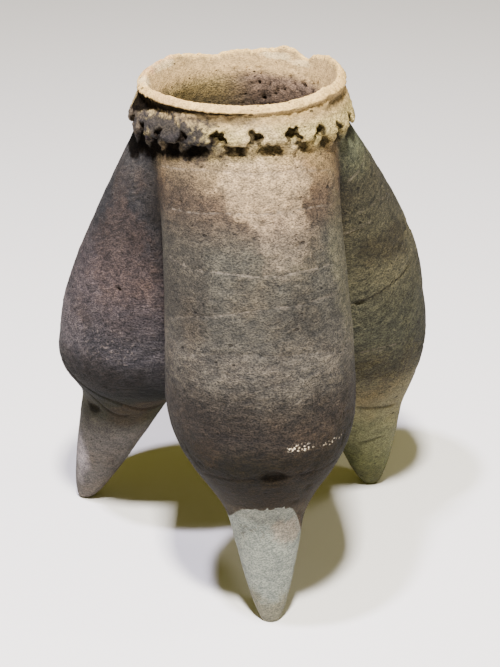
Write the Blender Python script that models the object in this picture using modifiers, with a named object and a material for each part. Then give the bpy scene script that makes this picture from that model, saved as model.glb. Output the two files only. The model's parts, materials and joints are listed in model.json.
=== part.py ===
"""Pouch-legged clay tripod, the lower half of a steamer.

Three hollow, bag-shaped legs on solid pointed feet run together into a narrow
waist.  Round the waist goes a finger-pinched cordon, and above it stands the
broken stub of the bowl's flaring wall.  Metres, +Z up, front leg towards -Y.
Bearings are degrees round the pot from the front leg, positive towards +X.
"""

import math
from dataclasses import dataclass

import bmesh
import bpy

# Clay wall
WALL = 0.0066
LIP_THICKNESS = 0.0052
LIP_DROP = 0.0042

# Waist, throat and stub of the bowl
WAIST_HEIGHT = 0.300
THROAT_RADIUS = 0.0495
WAIST_WALL = 0.0145
WAIST_TAIL = 0.052
WAIST_TAIL_TAPER = 0.0141
STUB_HEIGHT = 0.0213
STUB_FLARE = 0.0108
BREAK_RISE = 0.0056
# Shares of the stub's flare and of its height down the inside of the throat
THROAT_CURVE = ((0.30, 0.55), (0.0, 0.90), (0.0, 1.15))

# Finger-pinched cordon
PINCH_COUNT = 20
PINCH_PHASE = -1.6
PINCH_HALF_WIDTH = 0.0072
PINCH_DEPTH = 0.0048
PINCH_LIFT = 0.0046
CORDON_STANDOUT = 0.0072
CORDON_HEIGHT = 0.0185
CORDON_LIP = 0.0034
CORDON_GAP = 0.0017
CORDON_SAG = 0.0055
# Shares of the cordon's stand-out and of its height down its sloping face
CORDON_SLOPE = ((-0.10, 0.04), (0.20, 0.24), (0.62, 0.52))

# Front leg; the other two take shares of its sizes
FOOT_HEIGHT = 0.082
FOOT_REACH = 0.118
FOOT_RADIUS = 0.0325
FOOT_SWAY = 0.0010
BELLY_HEIGHT = 0.060
POUCH_RADIUS = 0.0591
POUCH_REACH = 0.0807

# Pouches shared by the three legs
POUCH_SETBACK = 0.0028
POUCH_NIP = 0.0034
POUCH_SPLAY = 0.28
POUCH_DEPTH = 1.16
POUCH_TAPER = 4

# Feet shared by the three legs
FOOT_SEAT = 0.020
FOOT_TIP_RADIUS = 0.0052
FOOT_FULLNESS = 0.72
# Shares of a foot's height at which its width is worked out
FOOT_LEVELS = (1.0, 0.82, 0.64, 0.46, 0.30, 0.17, 0.08, 0.03, 0.0)

# Facets, and steps down a pouch above and below its widest section
POUCH_SIDES = 36
POUCH_STEPS = (8, 7)
HOLLOW_SIDES = 22
HOLLOW_STEPS = (7, 5)
FOOT_SIDES = 20
FACETS_PER_PINCH = 7


@dataclass(frozen=True)
class Leg:
    """Sizes of one hand-built leg; reaches are taken from the waist's axis.

    A larger sweep carries the pouch's width further up before it turns in to the waist.
    """

    name: str
    bearing: float
    pouch_sweep: float
    foot_height: float = FOOT_HEIGHT
    foot_reach: float = FOOT_REACH
    foot_radius: float = FOOT_RADIUS
    foot_sway: float = FOOT_SWAY
    belly_height: float = BELLY_HEIGHT
    pouch_radius: float = POUCH_RADIUS
    pouch_reach: float = POUCH_REACH

    @property
    def belly_level(self):
        """Height of the pouch's widest section."""
        return self.foot_height + self.belly_height


@dataclass(frozen=True)
class RimBreak:
    """One rise or dip of the broken edge, with its middle and half width in degrees.

    Its rise is a share of the highest one.
    """

    bearing: float
    half_width: float
    rise: float


LEGS = (
    Leg("front", bearing=0.0, pouch_sweep=1.57),
    Leg(
        "left",
        bearing=-122.6,
        pouch_sweep=1.52,
        foot_height=1.061 * FOOT_HEIGHT,
        foot_reach=1.011 * FOOT_REACH,
        foot_radius=1.062 * FOOT_RADIUS,
        foot_sway=4.3 * FOOT_SWAY,
        belly_height=0.833 * BELLY_HEIGHT,
        pouch_radius=0.998 * POUCH_RADIUS,
        pouch_reach=0.860 * POUCH_REACH,
    ),
    Leg(
        "right",
        bearing=116.8,
        pouch_sweep=1.74,
        foot_height=0.829 * FOOT_HEIGHT,
        foot_reach=0.953 * FOOT_REACH,
        foot_radius=1.037 * FOOT_RADIUS,
        foot_sway=0.8 * FOOT_SWAY,
        belly_height=1.533 * BELLY_HEIGHT,
        pouch_radius=0.978 * POUCH_RADIUS,
        pouch_reach=0.963 * POUCH_REACH,
    ),
)

RIM_BREAKS = (
    RimBreak(-88.0, 16.0, -0.43),
    RimBreak(-137.0, 9.0, 0.29),
    RimBreak(-171.0, 13.0, -0.54),
    RimBreak(143.0, 12.0, 0.54),
    RimBreak(128.0, 6.5, -0.64),
    RimBreak(98.0, 26.0, 1.0),
    RimBreak(48.0, 22.0, 0.43),
)


def belly_rise(leg, height):
    """Share of the way from a pouch's widest section up to the waist, none below it."""
    rise = (height - leg.belly_level) / (WAIST_HEIGHT - leg.belly_level)
    return min(max(rise, 0.0), 1.0)


def pouch_reach(leg, height):
    """Distance of a pouch's middle from the waist's axis at a height."""
    splay = POUCH_SPLAY * max(leg.belly_level - height, 0.0)
    return leg.pouch_reach * (1.0 - belly_rise(leg, height) ** leg.pouch_sweep) + splay


def waist_radius():
    """Outer radius of the waist below the cordon."""
    return THROAT_RADIUS + WAIST_WALL


def nip_share(share):
    """Nothing at a pouch's widest section and at the waist, one where it is nipped in most."""
    deepest = 2.0 / 3.0
    return share ** 2 * (1.0 - share) / (deepest ** 2 * (1.0 - deepest))


def pouch_profile(leg, top_radius, steps):
    """Radius and height down a pouch, from the waist to the bottom of its belly."""
    upper_steps, lower_steps = steps
    profile = []
    for step in range(upper_steps):
        share = 1.0 - step / upper_steps
        widening = (top_radius - leg.pouch_radius) * share ** POUCH_TAPER
        radius = leg.pouch_radius + widening - POUCH_NIP * nip_share(share)
        profile.append((radius, leg.belly_level + share * (WAIST_HEIGHT - leg.belly_level)))
    for step in range(lower_steps + 1):
        turn = math.radians(90.0 * step / lower_steps)
        height = leg.belly_level - leg.belly_height * math.sin(turn)
        profile.append((leg.pouch_radius * math.cos(turn), height))
    return profile


def foot_profile(leg):
    """Radius and height down a foot, from inside the pouch to the worn tip."""
    top = leg.foot_height + FOOT_SEAT
    profile = []
    for share in FOOT_LEVELS:
        radius = FOOT_TIP_RADIUS + (leg.foot_radius - FOOT_TIP_RADIUS) * share ** FOOT_FULLNESS
        profile.append((radius, top * share))
    return profile


def rim_height():
    """Mean height of the broken edge."""
    return WAIST_HEIGHT + STUB_HEIGHT


def cordon_top():
    """Height at which the cordon's slope leaves the underside of the lip."""
    return rim_height() - LIP_DROP - CORDON_GAP


def neck_profile():
    """Radius and height down the outside, from the lip to the waist's tail."""
    waist = waist_radius()
    lip = THROAT_RADIUS + STUB_FLARE
    cordon_foot = cordon_top() - CORDON_HEIGHT
    profile = [(lip, rim_height()), (lip + LIP_THICKNESS, rim_height() - LIP_DROP)]
    for out, down in CORDON_SLOPE:
        profile.append((waist + out * CORDON_STANDOUT, cordon_top() - down * CORDON_HEIGHT))
    profile += [
        (waist + CORDON_STANDOUT, cordon_foot + CORDON_LIP),
        (waist + 0.88 * CORDON_STANDOUT, cordon_foot),
        (waist + 0.10 * CORDON_STANDOUT, cordon_foot + 0.4 * CORDON_LIP),
        (waist - 0.10 * CORDON_STANDOUT, cordon_foot - CORDON_LIP),
        (waist - 0.45 * WAIST_TAIL_TAPER, WAIST_HEIGHT - 0.5 * WAIST_TAIL),
        (waist - WAIST_TAIL_TAPER, WAIST_HEIGHT - WAIST_TAIL),
    ]
    return profile


def throat_profile():
    """Radius and height down the inside, from above the lip to below the throat."""
    clear = STUB_HEIGHT
    lip = THROAT_RADIUS + STUB_FLARE
    profile = [(lip + clear * STUB_FLARE / STUB_HEIGHT, rim_height() + clear), (lip, rim_height())]
    for out, down in THROAT_CURVE:
        profile.append((THROAT_RADIUS + out * STUB_FLARE, rim_height() - down * STUB_HEIGHT))
    profile.append((THROAT_RADIUS, WAIST_HEIGHT - 0.5 * WAIST_TAIL))
    return profile


def turned(name, profile, sides, collection):
    """Object with a profile turned about the Z axis, closed at both ends."""
    outline = [(0.0, profile[0][1])] + profile + [(0.0, profile[-1][1])]
    mesh = bpy.data.meshes.new(name)
    points = [(radius, 0.0, height) for radius, height in outline]
    edges = [(index, index + 1) for index in range(len(points) - 1)]
    mesh.from_pydata(points, edges, [])
    piece = bpy.data.objects.new(name, mesh)
    collection.objects.link(piece)
    screw = piece.modifiers.new("Turn", "SCREW")
    screw.steps = sides
    screw.render_steps = sides
    screw.use_merge_vertices = True
    screw.merge_threshold = 0.00001
    evaluated = piece.evaluated_get(bpy.context.evaluated_depsgraph_get())
    piece.modifiers.remove(screw)
    piece.data = bpy.data.meshes.new_from_object(evaluated)
    piece.data.name = name
    bpy.data.meshes.remove(mesh)
    return piece


def reshape(piece, rule):
    """Moves each vertex of a piece to where the rule puts it."""
    shape = bmesh.new()
    shape.from_mesh(piece.data)
    bmesh.ops.remove_doubles(shape, verts=shape.verts, dist=0.00001)
    for vertex in shape.verts:
        vertex.co = rule(*vertex.co)
    bmesh.ops.recalc_face_normals(shape, faces=shape.faces)
    shape.to_mesh(piece.data)
    shape.free()
    piece.data.shade_smooth()
    piece.data.set_sharp_from_angle(angle=math.radians(40.0))


def toward(leg, out, side, height):
    """Point given by its distance out along a leg's bearing and its distance to the side."""
    turn = math.radians(leg.bearing)
    return (
        out * math.sin(turn) + side * math.cos(turn),
        -out * math.cos(turn) + side * math.sin(turn),
        height,
    )


def pouch_point(leg, x, y, height):
    """Swings a turned pouch out along its leg and deepens its inner half."""
    depth = 1.0 + (POUCH_DEPTH - 1.0) * (1.0 - belly_rise(leg, height) ** 2)
    out = x if x > 0.0 else depth * x
    return toward(leg, pouch_reach(leg, height) + out, y, height)


def foot_point(leg, x, y, height):
    """Swings a turned foot from under the pouch out to its tip."""
    top = leg.foot_height + FOOT_SEAT
    share = height / top
    out = leg.foot_reach + (pouch_reach(leg, top) - leg.foot_reach) * share
    return toward(leg, out + x, y + leg.foot_sway * (1.0 - share), height)


def angle_between(first, second):
    """Smallest difference of two bearings, in degrees."""
    return abs((first - second + 180.0) % 360.0 - 180.0)


def bearing_of(x, y):
    """Bearing of a point round the pot's axis, in degrees."""
    return math.degrees(math.atan2(x, -y))


def rim_rise(bearing):
    """How far the broken edge stands above or below its mean height."""
    rise = 0.0
    for part in RIM_BREAKS:
        away = angle_between(bearing, part.bearing) / part.half_width
        rise += part.rise * BREAK_RISE * math.exp(-(away ** 2))
    return rise


def broken_point(x, y, height):
    """Lifts or lowers the stub's edge to the line of the break."""
    share = min(max((height - WAIST_HEIGHT) / STUB_HEIGHT, 0.0), 1.0)
    return (x, y, height + share * rim_rise(bearing_of(x, y)))


def pinch_share(bearing):
    """One in the middle of a finger pinch, falling to nothing at its edge."""
    pitch = 360.0 / PINCH_COUNT
    nearest = round((bearing - PINCH_PHASE) / pitch) * pitch + PINCH_PHASE
    away = math.radians(angle_between(bearing, nearest)) * (waist_radius() + CORDON_STANDOUT)
    share = min(away / PINCH_HALF_WIDTH, 1.0)
    return (1.0 - share * share) ** 2


def neck_point(x, y, height):
    """Breaks the lip and presses the pinches into the cordon's lower edge."""
    phase = math.radians(PINCH_PHASE)
    x, y = x * math.cos(phase) - y * math.sin(phase), x * math.sin(phase) + y * math.cos(phase)
    bearing = bearing_of(x, y)
    radius = math.hypot(x, y)
    below_lip = height < rim_height() - LIP_DROP - 0.5 * CORDON_GAP
    standing = min(max((radius - waist_radius()) / CORDON_STANDOUT, 0.0), 1.0)
    if not below_lip or standing == 0.0:
        return broken_point(x, y, height)
    pressed = pinch_share(bearing) * standing ** 2
    sag = CORDON_SAG * standing * math.sin(math.radians(bearing)) ** 2
    shrink = 1.0 - pressed * PINCH_DEPTH / radius
    return (x * shrink, y * shrink, height - sag + pressed * PINCH_LIFT)


def hollow_of(leg, collection):
    """Inside of a pouch: its skin moved in by the wall along the normals."""
    profile = pouch_profile(leg, THROAT_RADIUS + WALL, HOLLOW_STEPS)
    inside = turned(leg.name + "_hollow", profile, HOLLOW_SIDES, collection)
    reshape(inside, lambda x, y, z: pouch_point(leg, x, y, z))
    shape = bmesh.new()
    shape.from_mesh(inside.data)
    shape.normal_update()
    moved = [vertex.co - vertex.normal * WALL for vertex in shape.verts]
    for vertex, place in zip(shape.verts, moved):
        vertex.co = place
    shape.to_mesh(inside.data)
    shape.free()
    return inside


def clay():
    """Fired clay: grey-brown, dull."""
    material = bpy.data.materials.new("fired_clay")
    material.use_nodes = True
    shader = material.node_tree.nodes["Principled BSDF"]
    shader.inputs["Base Color"].default_value = (0.20, 0.16, 0.13, 1.0)
    shader.inputs["Roughness"].default_value = 0.9
    shader.inputs["Metallic"].default_value = 0.0
    return material


def new_collection(name):
    """Collection linked to the scene."""
    collection = bpy.data.collections.new(name)
    bpy.context.scene.collection.children.link(collection)
    return collection


def hide_guides(collection):
    """Keeps the pieces of a collection as wire guides, out of the render."""
    for piece in collection.objects:
        piece.display_type = "WIRE"
        piece.hide_render = True


def combine(body, operation, collection):
    """Adds or cuts away every piece of a collection."""
    step = body.modifiers.new(operation.title(), "BOOLEAN")
    step.operation = operation
    step.solver = "EXACT"
    step.operand_type = "COLLECTION"
    step.collection = collection


def set_on_origin(body, frame):
    """Moves the frame so that the body stands on Z = 0 over the origin."""
    bpy.context.view_layer.update()
    evaluated = body.evaluated_get(bpy.context.evaluated_depsgraph_get())
    mesh = evaluated.to_mesh()
    corners = [evaluated.matrix_world @ vertex.co for vertex in mesh.vertices]
    middle = [(min(c[i] for c in corners) + max(c[i] for c in corners)) / 2.0 for i in range(2)]
    floor = min(corner[2] for corner in corners)
    evaluated.to_mesh_clear()
    frame.location = (-middle[0], -middle[1], -floor)


def build():
    """Builds the tripod in its own frame."""
    for old in list(bpy.data.objects):
        bpy.data.objects.remove(old, do_unlink=True)
    steamer = new_collection("pottery_steamer")
    added = new_collection("clay_added_to_the_neck")
    hollows = new_collection("hollows")
    frame = bpy.data.objects.new("steamer_frame", None)
    steamer.objects.link(frame)

    neck_sides = PINCH_COUNT * FACETS_PER_PINCH
    body = turned("steamer_tripod", neck_profile(), neck_sides, steamer)
    reshape(body, neck_point)
    throat = turned("throat", throat_profile(), neck_sides // 2, hollows)
    reshape(throat, broken_point)
    for leg in LEGS:
        profile = pouch_profile(leg, waist_radius() - POUCH_SETBACK, POUCH_STEPS)
        pouch = turned(leg.name + "_pouch", profile, POUCH_SIDES, added)
        reshape(pouch, lambda x, y, z, leg=leg: pouch_point(leg, x, y, z))
        foot = turned(leg.name + "_foot", foot_profile(leg), FOOT_SIDES, added)
        reshape(foot, lambda x, y, z, leg=leg: foot_point(leg, x, y, z))
        hollow_of(leg, hollows)
    for piece in [body, *added.objects, *hollows.objects]:
        piece.parent = frame
    body.data.materials.append(clay())
    combine(body, "UNION", added)
    combine(body, "DIFFERENCE", hollows)
    hide_guides(added)
    hide_guides(hollows)
    set_on_origin(body, frame)


build()
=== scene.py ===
"""Looks of a clay steamer's tripod: hollow pouch legs, pinched cordon, broken collar.

The form is one piece of fired clay.  It is worked out as a signed distance in metres,
round the pot's own axis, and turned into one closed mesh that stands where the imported
solid stands.  Bearings are degrees round the axis from the front leg, positive towards +X.
"""

import json
import logging
import math
from collections.abc import Iterator
from dataclasses import dataclass, fields
from enum import Enum

import bmesh
import bpy
import numpy as np
from mathutils import Matrix, Vector


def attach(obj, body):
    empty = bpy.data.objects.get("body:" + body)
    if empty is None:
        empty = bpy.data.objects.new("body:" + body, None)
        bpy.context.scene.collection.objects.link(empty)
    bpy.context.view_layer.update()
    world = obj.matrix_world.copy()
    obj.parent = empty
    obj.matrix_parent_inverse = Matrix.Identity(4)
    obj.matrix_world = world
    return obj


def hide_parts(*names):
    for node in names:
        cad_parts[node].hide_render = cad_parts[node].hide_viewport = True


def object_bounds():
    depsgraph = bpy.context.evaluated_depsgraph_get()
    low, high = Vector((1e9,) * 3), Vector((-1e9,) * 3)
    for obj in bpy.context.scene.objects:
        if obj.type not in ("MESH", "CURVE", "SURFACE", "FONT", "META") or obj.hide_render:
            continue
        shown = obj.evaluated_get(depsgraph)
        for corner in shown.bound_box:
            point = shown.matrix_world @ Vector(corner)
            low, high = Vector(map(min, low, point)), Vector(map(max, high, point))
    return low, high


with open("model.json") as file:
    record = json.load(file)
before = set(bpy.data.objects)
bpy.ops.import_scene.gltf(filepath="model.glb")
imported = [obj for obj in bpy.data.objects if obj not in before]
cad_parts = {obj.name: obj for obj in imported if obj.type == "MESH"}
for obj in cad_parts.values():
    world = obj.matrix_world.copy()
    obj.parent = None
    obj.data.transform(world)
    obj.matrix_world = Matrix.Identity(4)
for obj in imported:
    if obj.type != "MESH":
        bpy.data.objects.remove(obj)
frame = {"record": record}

CAD_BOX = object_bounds()
LOG = logging.getLogger("steamer")
LAY = "cord_lay"

# What keeps a divisor off nothing, and a filled grid point just inside the clay.
TINY = 1e-9
SLIGHT = 1e-6

# Range of a wave's random start, in radians.
FULL_TURN = 6.28

Pair = tuple[float, float]
Triple = tuple[float, float, float]
Colour = tuple[float, float, float, float]
Coat = tuple[float, str]
Ramp = tuple[tuple[float, str], ...]
Socket = bpy.types.NodeSocket


def smooth_min(first: np.ndarray, second: np.ndarray, blend: float) -> np.ndarray:
    """Joins two signed distances as wet clay is smoothed over a joint as wide as the blend."""
    share = np.clip(0.5 + 0.5 * (second - first) / blend, 0.0, 1.0)
    return second + (first - second) * share - blend * share * (1.0 - share)


def smooth_max(first: np.ndarray, second: np.ndarray, blend: float) -> np.ndarray:
    """Keeps what two signed distances share, with the edge between them worn round."""
    return -smooth_min(-first, -second, blend)


def eased(values: np.ndarray, start: float, end: float) -> np.ndarray:
    """Nothing before start, one past end, and a smooth step between."""
    share = np.clip((values - start) / (end - start), 0.0, 1.0)
    return share * share * (3.0 - 2.0 * share)


def bearing_gap(bearings: np.ndarray, middle: float) -> np.ndarray:
    """Signed degrees from a middle bearing, within half a turn."""
    return (bearings - middle + 180.0) % 360.0 - 180.0


def round_axis(points: np.ndarray) -> tuple[np.ndarray, np.ndarray]:
    """Distances of points from the pot's axis, and their bearings in degrees."""
    return np.hypot(points[:, 0], points[:, 1]), np.degrees(np.arctan2(points[:, 0], -points[:, 1]))


def outline_distance(radius: np.ndarray, height: np.ndarray, outline: np.ndarray) -> np.ndarray:
    """Signed distance to a turned form, in the plane of its outline.

    Args:
        radius: Distances from the axis.
        height: Heights of the same points.
        outline: Corners (radius, height) of the closed outline.

    Returns:
        Signed distances, negative inside.
    """
    nearest = np.full(radius.shape, np.inf)
    inside = np.zeros(radius.shape, dtype=bool)
    for (x0, y0), (x1, y1) in zip(outline, np.roll(outline, -1, axis=0)):
        run, rise = x1 - x0, y1 - y0
        along = ((radius - x0) * run + (height - y0) * rise) / (run * run + rise * rise)
        along = np.clip(along, 0.0, 1.0)
        away = (radius - x0 - along * run) ** 2 + (height - y0 - along * rise) ** 2
        nearest = np.minimum(nearest, away)
        if rise != 0.0:
            crosses = (y0 > height) != (y1 > height)
            inside ^= crosses & (radius < x0 + run * (height - y0) / rise)
    return np.where(inside, -1.0, 1.0) * np.sqrt(nearest)


@dataclass(frozen=True)
class Waist:
    """Sizes that the neck and the legs share."""

    height: float = 0.300
    throat_radius: float = 0.0495
    wall: float = 0.0145
    leg_wall: float = 0.0066
    setback: float = 0.0028

    @property
    def radius(self) -> float:
        """Outer radius of the waist below the cordon."""
        return self.throat_radius + self.wall


@dataclass(frozen=True)
class Leg:
    """One hand-built hollow leg: a bag-shaped pouch on a solid pointed foot.

    Lengths are in metres and the bearing in degrees.  Sweep, splay, depth, taper and fullness
    are plain factors and powers.
    """

    bearing: float
    pouch_sweep: float
    foot_height: float
    foot_reach: float
    foot_radius: float
    foot_sway: float
    belly_height: float
    pouch_radius: float
    pouch_reach: float
    waist: Waist = Waist()
    splay: float = 0.28
    depth: float = 1.16
    nip: float = 0.0034
    taper: int = 4
    foot_seat: float = 0.020
    foot_tip_radius: float = 0.0052
    foot_fullness: float = 0.72
    foot_joint: float = 0.012

    @property
    def belly_level(self) -> float:
        """Height of the pouch's widest section."""
        return self.foot_height + self.belly_height

    def local(self, points: np.ndarray) -> tuple[np.ndarray, np.ndarray, np.ndarray]:
        """Splits points into out along the leg, off to its side, and height.

        Args:
            points: Points round the pot's axis, one a row.

        Returns:
            The three distances of each point.
        """
        turn = math.radians(self.bearing)
        out = points[:, 0] * math.sin(turn) - points[:, 1] * math.cos(turn)
        side = points[:, 0] * math.cos(turn) + points[:, 1] * math.sin(turn)
        return out, side, points[:, 2]

    def round_pouch(self, points: np.ndarray) -> tuple[np.ndarray, np.ndarray]:
        """Places points round the pouch's own middle.

        Args:
            points: Points round the pot's axis, one a row.

        Returns:
            Distances from the middle, and degrees round it from straight out.
        """
        out, side, height = self.local(points)
        out = out - self.reach_at(height)
        return np.hypot(out, side), np.degrees(np.arctan2(side, out))

    def rise(self, height: np.ndarray) -> np.ndarray:
        """Share of the way from the pouch's widest section up to the waist."""
        span = self.waist.height - self.belly_level
        return np.clip((height - self.belly_level) / span, 0.0, 1.0)

    def reach_at(self, height: np.ndarray) -> np.ndarray:
        """Distance of the pouch's middle from the pot's axis at a height."""
        hang = self.splay * np.maximum(self.belly_level - height, 0.0)
        return self.pouch_reach * (1.0 - self.rise(height) ** self.pouch_sweep) + hang

    def radius_at(self, height: np.ndarray, top_radius: float) -> np.ndarray:
        """Radius of the pouch from its widest section up.

        Args:
            height: Heights above the floor.
            top_radius: Radius at the waist.

        Returns:
            Radii of the level sections.
        """
        share = self.rise(height)
        peak_to_one = 27.0 / 4.0
        nipped = self.nip * peak_to_one * share * share * (1.0 - share)
        return self.pouch_radius + (top_radius - self.pouch_radius) * share ** self.taper - nipped

    def pouch_distance(self, points: np.ndarray, top_radius: float) -> np.ndarray:
        """Signed distance to the pouch.

        Args:
            points: Points round the pot's axis, one a row.
            top_radius: Radius of the pouch at the waist.

        Returns:
            Signed distances, negative inside.
        """
        out, side, height = self.local(points)
        step = 0.001
        radius = self.radius_at(height, top_radius)
        out = out - self.reach_at(height)
        stretch = 1.0 + (self.depth - 1.0) * (1.0 - self.rise(height) ** 2)
        out = np.where(out < 0.0, out / stretch, out)
        squash = self.pouch_radius / self.belly_height
        below = np.maximum(self.belly_level - height, 0.0) * squash
        away = np.sqrt(out * out + side * side + below * below) + TINY
        lean = (self.reach_at(height + step) - self.reach_at(height - step)) / (2.0 * step)
        widening = (self.radius_at(height + step, top_radius)
                    - self.radius_at(height - step, top_radius)) / (2.0 * step)
        level = np.sqrt(out * out + side * side) / away
        upright = -lean * out / away - widening - squash * below / away
        distance = (away - radius) / np.sqrt(level * level + upright * upright + SLIGHT)
        return np.maximum(distance, height - self.waist.height)

    def foot_distance(self, points: np.ndarray) -> np.ndarray:
        """Signed distance to the pointed foot.

        Args:
            points: Points round the pot's axis, one a row.

        Returns:
            Signed distances, negative inside.
        """
        out, side, height = self.local(points)
        top = self.foot_height + self.foot_seat
        lowest = 0.001
        share = np.clip(height / top, lowest, 1.0)
        seat = float(self.reach_at(np.array(top)))
        out = out - self.foot_reach - (seat - self.foot_reach) * share
        side = side - self.foot_sway * (1.0 - share)
        width = self.foot_radius - self.foot_tip_radius
        radius = self.foot_tip_radius + width * share ** self.foot_fullness
        slope = width * self.foot_fullness * share ** (self.foot_fullness - 1.0) / top
        distance = (np.hypot(out, side) - radius) / np.sqrt(1.0 + slope * slope)
        return np.maximum(np.maximum(distance, -height), height - top)

    def distance(self, points: np.ndarray) -> np.ndarray:
        """Signed distance to the leg, its foot smoothed onto its pouch."""
        pouch = self.pouch_distance(points, self.waist.radius - self.waist.setback)
        return smooth_min(pouch, self.foot_distance(points), self.foot_joint)

    def hollow_distance(self, points: np.ndarray) -> np.ndarray:
        """Signed distance to the leg's hollow, a wall's thickness inside the pouch."""
        top_radius = self.waist.throat_radius + self.waist.leg_wall
        return self.pouch_distance(points, top_radius) + self.waist.leg_wall


@dataclass(frozen=True)
class RimBreak:
    """One rise or dip of the broken edge, its middle and half width in degrees."""

    bearing: float
    half_width: float
    rise: float


@dataclass(frozen=True)
class Neck:
    """The waist, the stub of the lost bowl above it, and the cordon round it."""

    breaks: tuple[RimBreak, ...]
    waist: Waist = Waist()
    stub_height: float = 0.0213
    stub_flare: float = 0.0108
    lip_thickness: float = 0.0052
    lip_drop: float = 0.0042
    tail: float = 0.052
    tail_taper: float = 0.0141
    cordon_standout: float = 0.0072
    cordon_height: float = 0.0176
    cordon_lip: float = 0.0034
    cordon_gap: float = 0.0017
    cordon_sag: float = 0.0055
    ragged_edge: float = 0.0003
    ragged_waves: tuple[tuple[int, float], ...] = (
        (11, 1.0), (19, 0.9), (29, 0.8), (47, 0.7), (71, 0.5), (103, 0.4),
    )
    smoother_share: float = 0.85
    smoother_bearing: float = -20.0
    smoother_width: float = 55.0
    seed: int = 5

    @property
    def rim(self) -> float:
        """Mean height of the broken edge."""
        return self.waist.height + self.stub_height

    @property
    def cordon_foot(self) -> float:
        """Height of the cordon's lower edge before it sags."""
        return self.rim - self.lip_drop - self.cordon_gap - self.cordon_height

    def outline(self) -> np.ndarray:
        """Draws the outside, from the axis over the lip and the cordon down to the tail.

        Returns:
            Corners (radius, height).
        """
        waist = self.waist.radius
        lip = self.waist.throat_radius + self.stub_flare
        top = self.cordon_foot + self.cordon_height
        out, down = self.cordon_standout, self.cordon_height
        return np.array([
            (0.0, self.rim),
            (lip, self.rim),
            (lip + self.lip_thickness, self.rim - self.lip_drop),
            (waist - 0.10 * out, top - 0.04 * down),
            (waist + 0.20 * out, top - 0.24 * down),
            (waist + 0.62 * out, top - 0.52 * down),
            (waist + out, self.cordon_foot + self.cordon_lip),
            (waist + 0.88 * out, self.cordon_foot),
            (waist + 0.10 * out, self.cordon_foot + 0.4 * self.cordon_lip),
            (waist - 0.10 * out, self.cordon_foot - self.cordon_lip),
            (waist - 0.45 * self.tail_taper, self.waist.height - 0.5 * self.tail),
            (waist - self.tail_taper, self.waist.height - self.tail),
            (0.0, self.waist.height - self.tail),
        ])

    def throat_outline(self) -> np.ndarray:
        """Draws the throat's space, from above the lip down into the body.

        Returns:
            Corners (radius, height).
        """
        throat, flare = self.waist.throat_radius, self.stub_flare
        rim, high = self.rim, self.stub_height
        return np.array([
            (0.0, rim + high),
            (throat + 2.0 * flare, rim + high),
            (throat + flare, rim),
            (throat + 0.30 * flare, rim - 0.55 * high),
            (throat, rim - 0.90 * high),
            (throat, rim - 1.15 * high),
            (throat, self.waist.height - 0.5 * self.tail),
            (0.0, self.waist.height - 0.5 * self.tail),
        ])

    def rim_rise(self, bearings: np.ndarray) -> np.ndarray:
        """How far the broken edge stands above or below its mean height.

        Args:
            bearings: Bearings in degrees.

        Returns:
            Heights to add, in metres.
        """
        rise = np.zeros_like(bearings)
        for part in self.breaks:
            rise += part.rise * np.exp(-(bearing_gap(bearings, part.bearing) / part.half_width) ** 2)
        rng = np.random.default_rng(self.seed)
        ragged = np.zeros_like(bearings)
        for waves, share in self.ragged_waves:
            ragged += share * np.sin(waves * np.radians(bearings) + rng.uniform(0.0, FULL_TURN))
        away = bearing_gap(bearings, self.smoother_bearing) / self.smoother_width
        calm = 1.0 - self.smoother_share * np.exp(-away ** 2)
        return rise + self.ragged_edge * calm * ragged

    def unbroken(self, height: np.ndarray, bearings: np.ndarray) -> np.ndarray:
        """Heights that points would have if the edge were level.

        Args:
            height: Heights above the floor.
            bearings: Bearings in degrees.

        Returns:
            Heights on the level form.
        """
        rise = self.rim_rise(bearings)
        share = rise / self.stub_height
        level = (height + self.waist.height * share) / (1.0 + share)
        level = np.where(level > self.rim, height - rise, level)
        return np.where(level > self.waist.height, level, height)

    def distance(self, points: np.ndarray) -> np.ndarray:
        """Signed distance to the neck's outside, filled to its axis.

        Args:
            points: Points round the pot's axis, one a row.

        Returns:
            Signed distances, negative inside.
        """
        radius, bearings = round_axis(points)
        height = self.unbroken(points[:, 2], bearings)
        standing = np.clip((radius - self.waist.radius) / self.cordon_standout, 0.0, 1.0)
        below_lip = height < self.rim - self.lip_drop - 0.5 * self.cordon_gap
        sag = self.cordon_sag * standing * np.sin(np.radians(bearings)) ** 2
        height = np.where(below_lip, height + sag, height)
        return outline_distance(radius, height, self.outline())

    def throat_distance(self, points: np.ndarray) -> np.ndarray:
        """Signed distance to the space inside the stub and the throat."""
        radius, bearings = round_axis(points)
        return outline_distance(radius, self.unbroken(points[:, 2], bearings), self.throat_outline())


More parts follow.
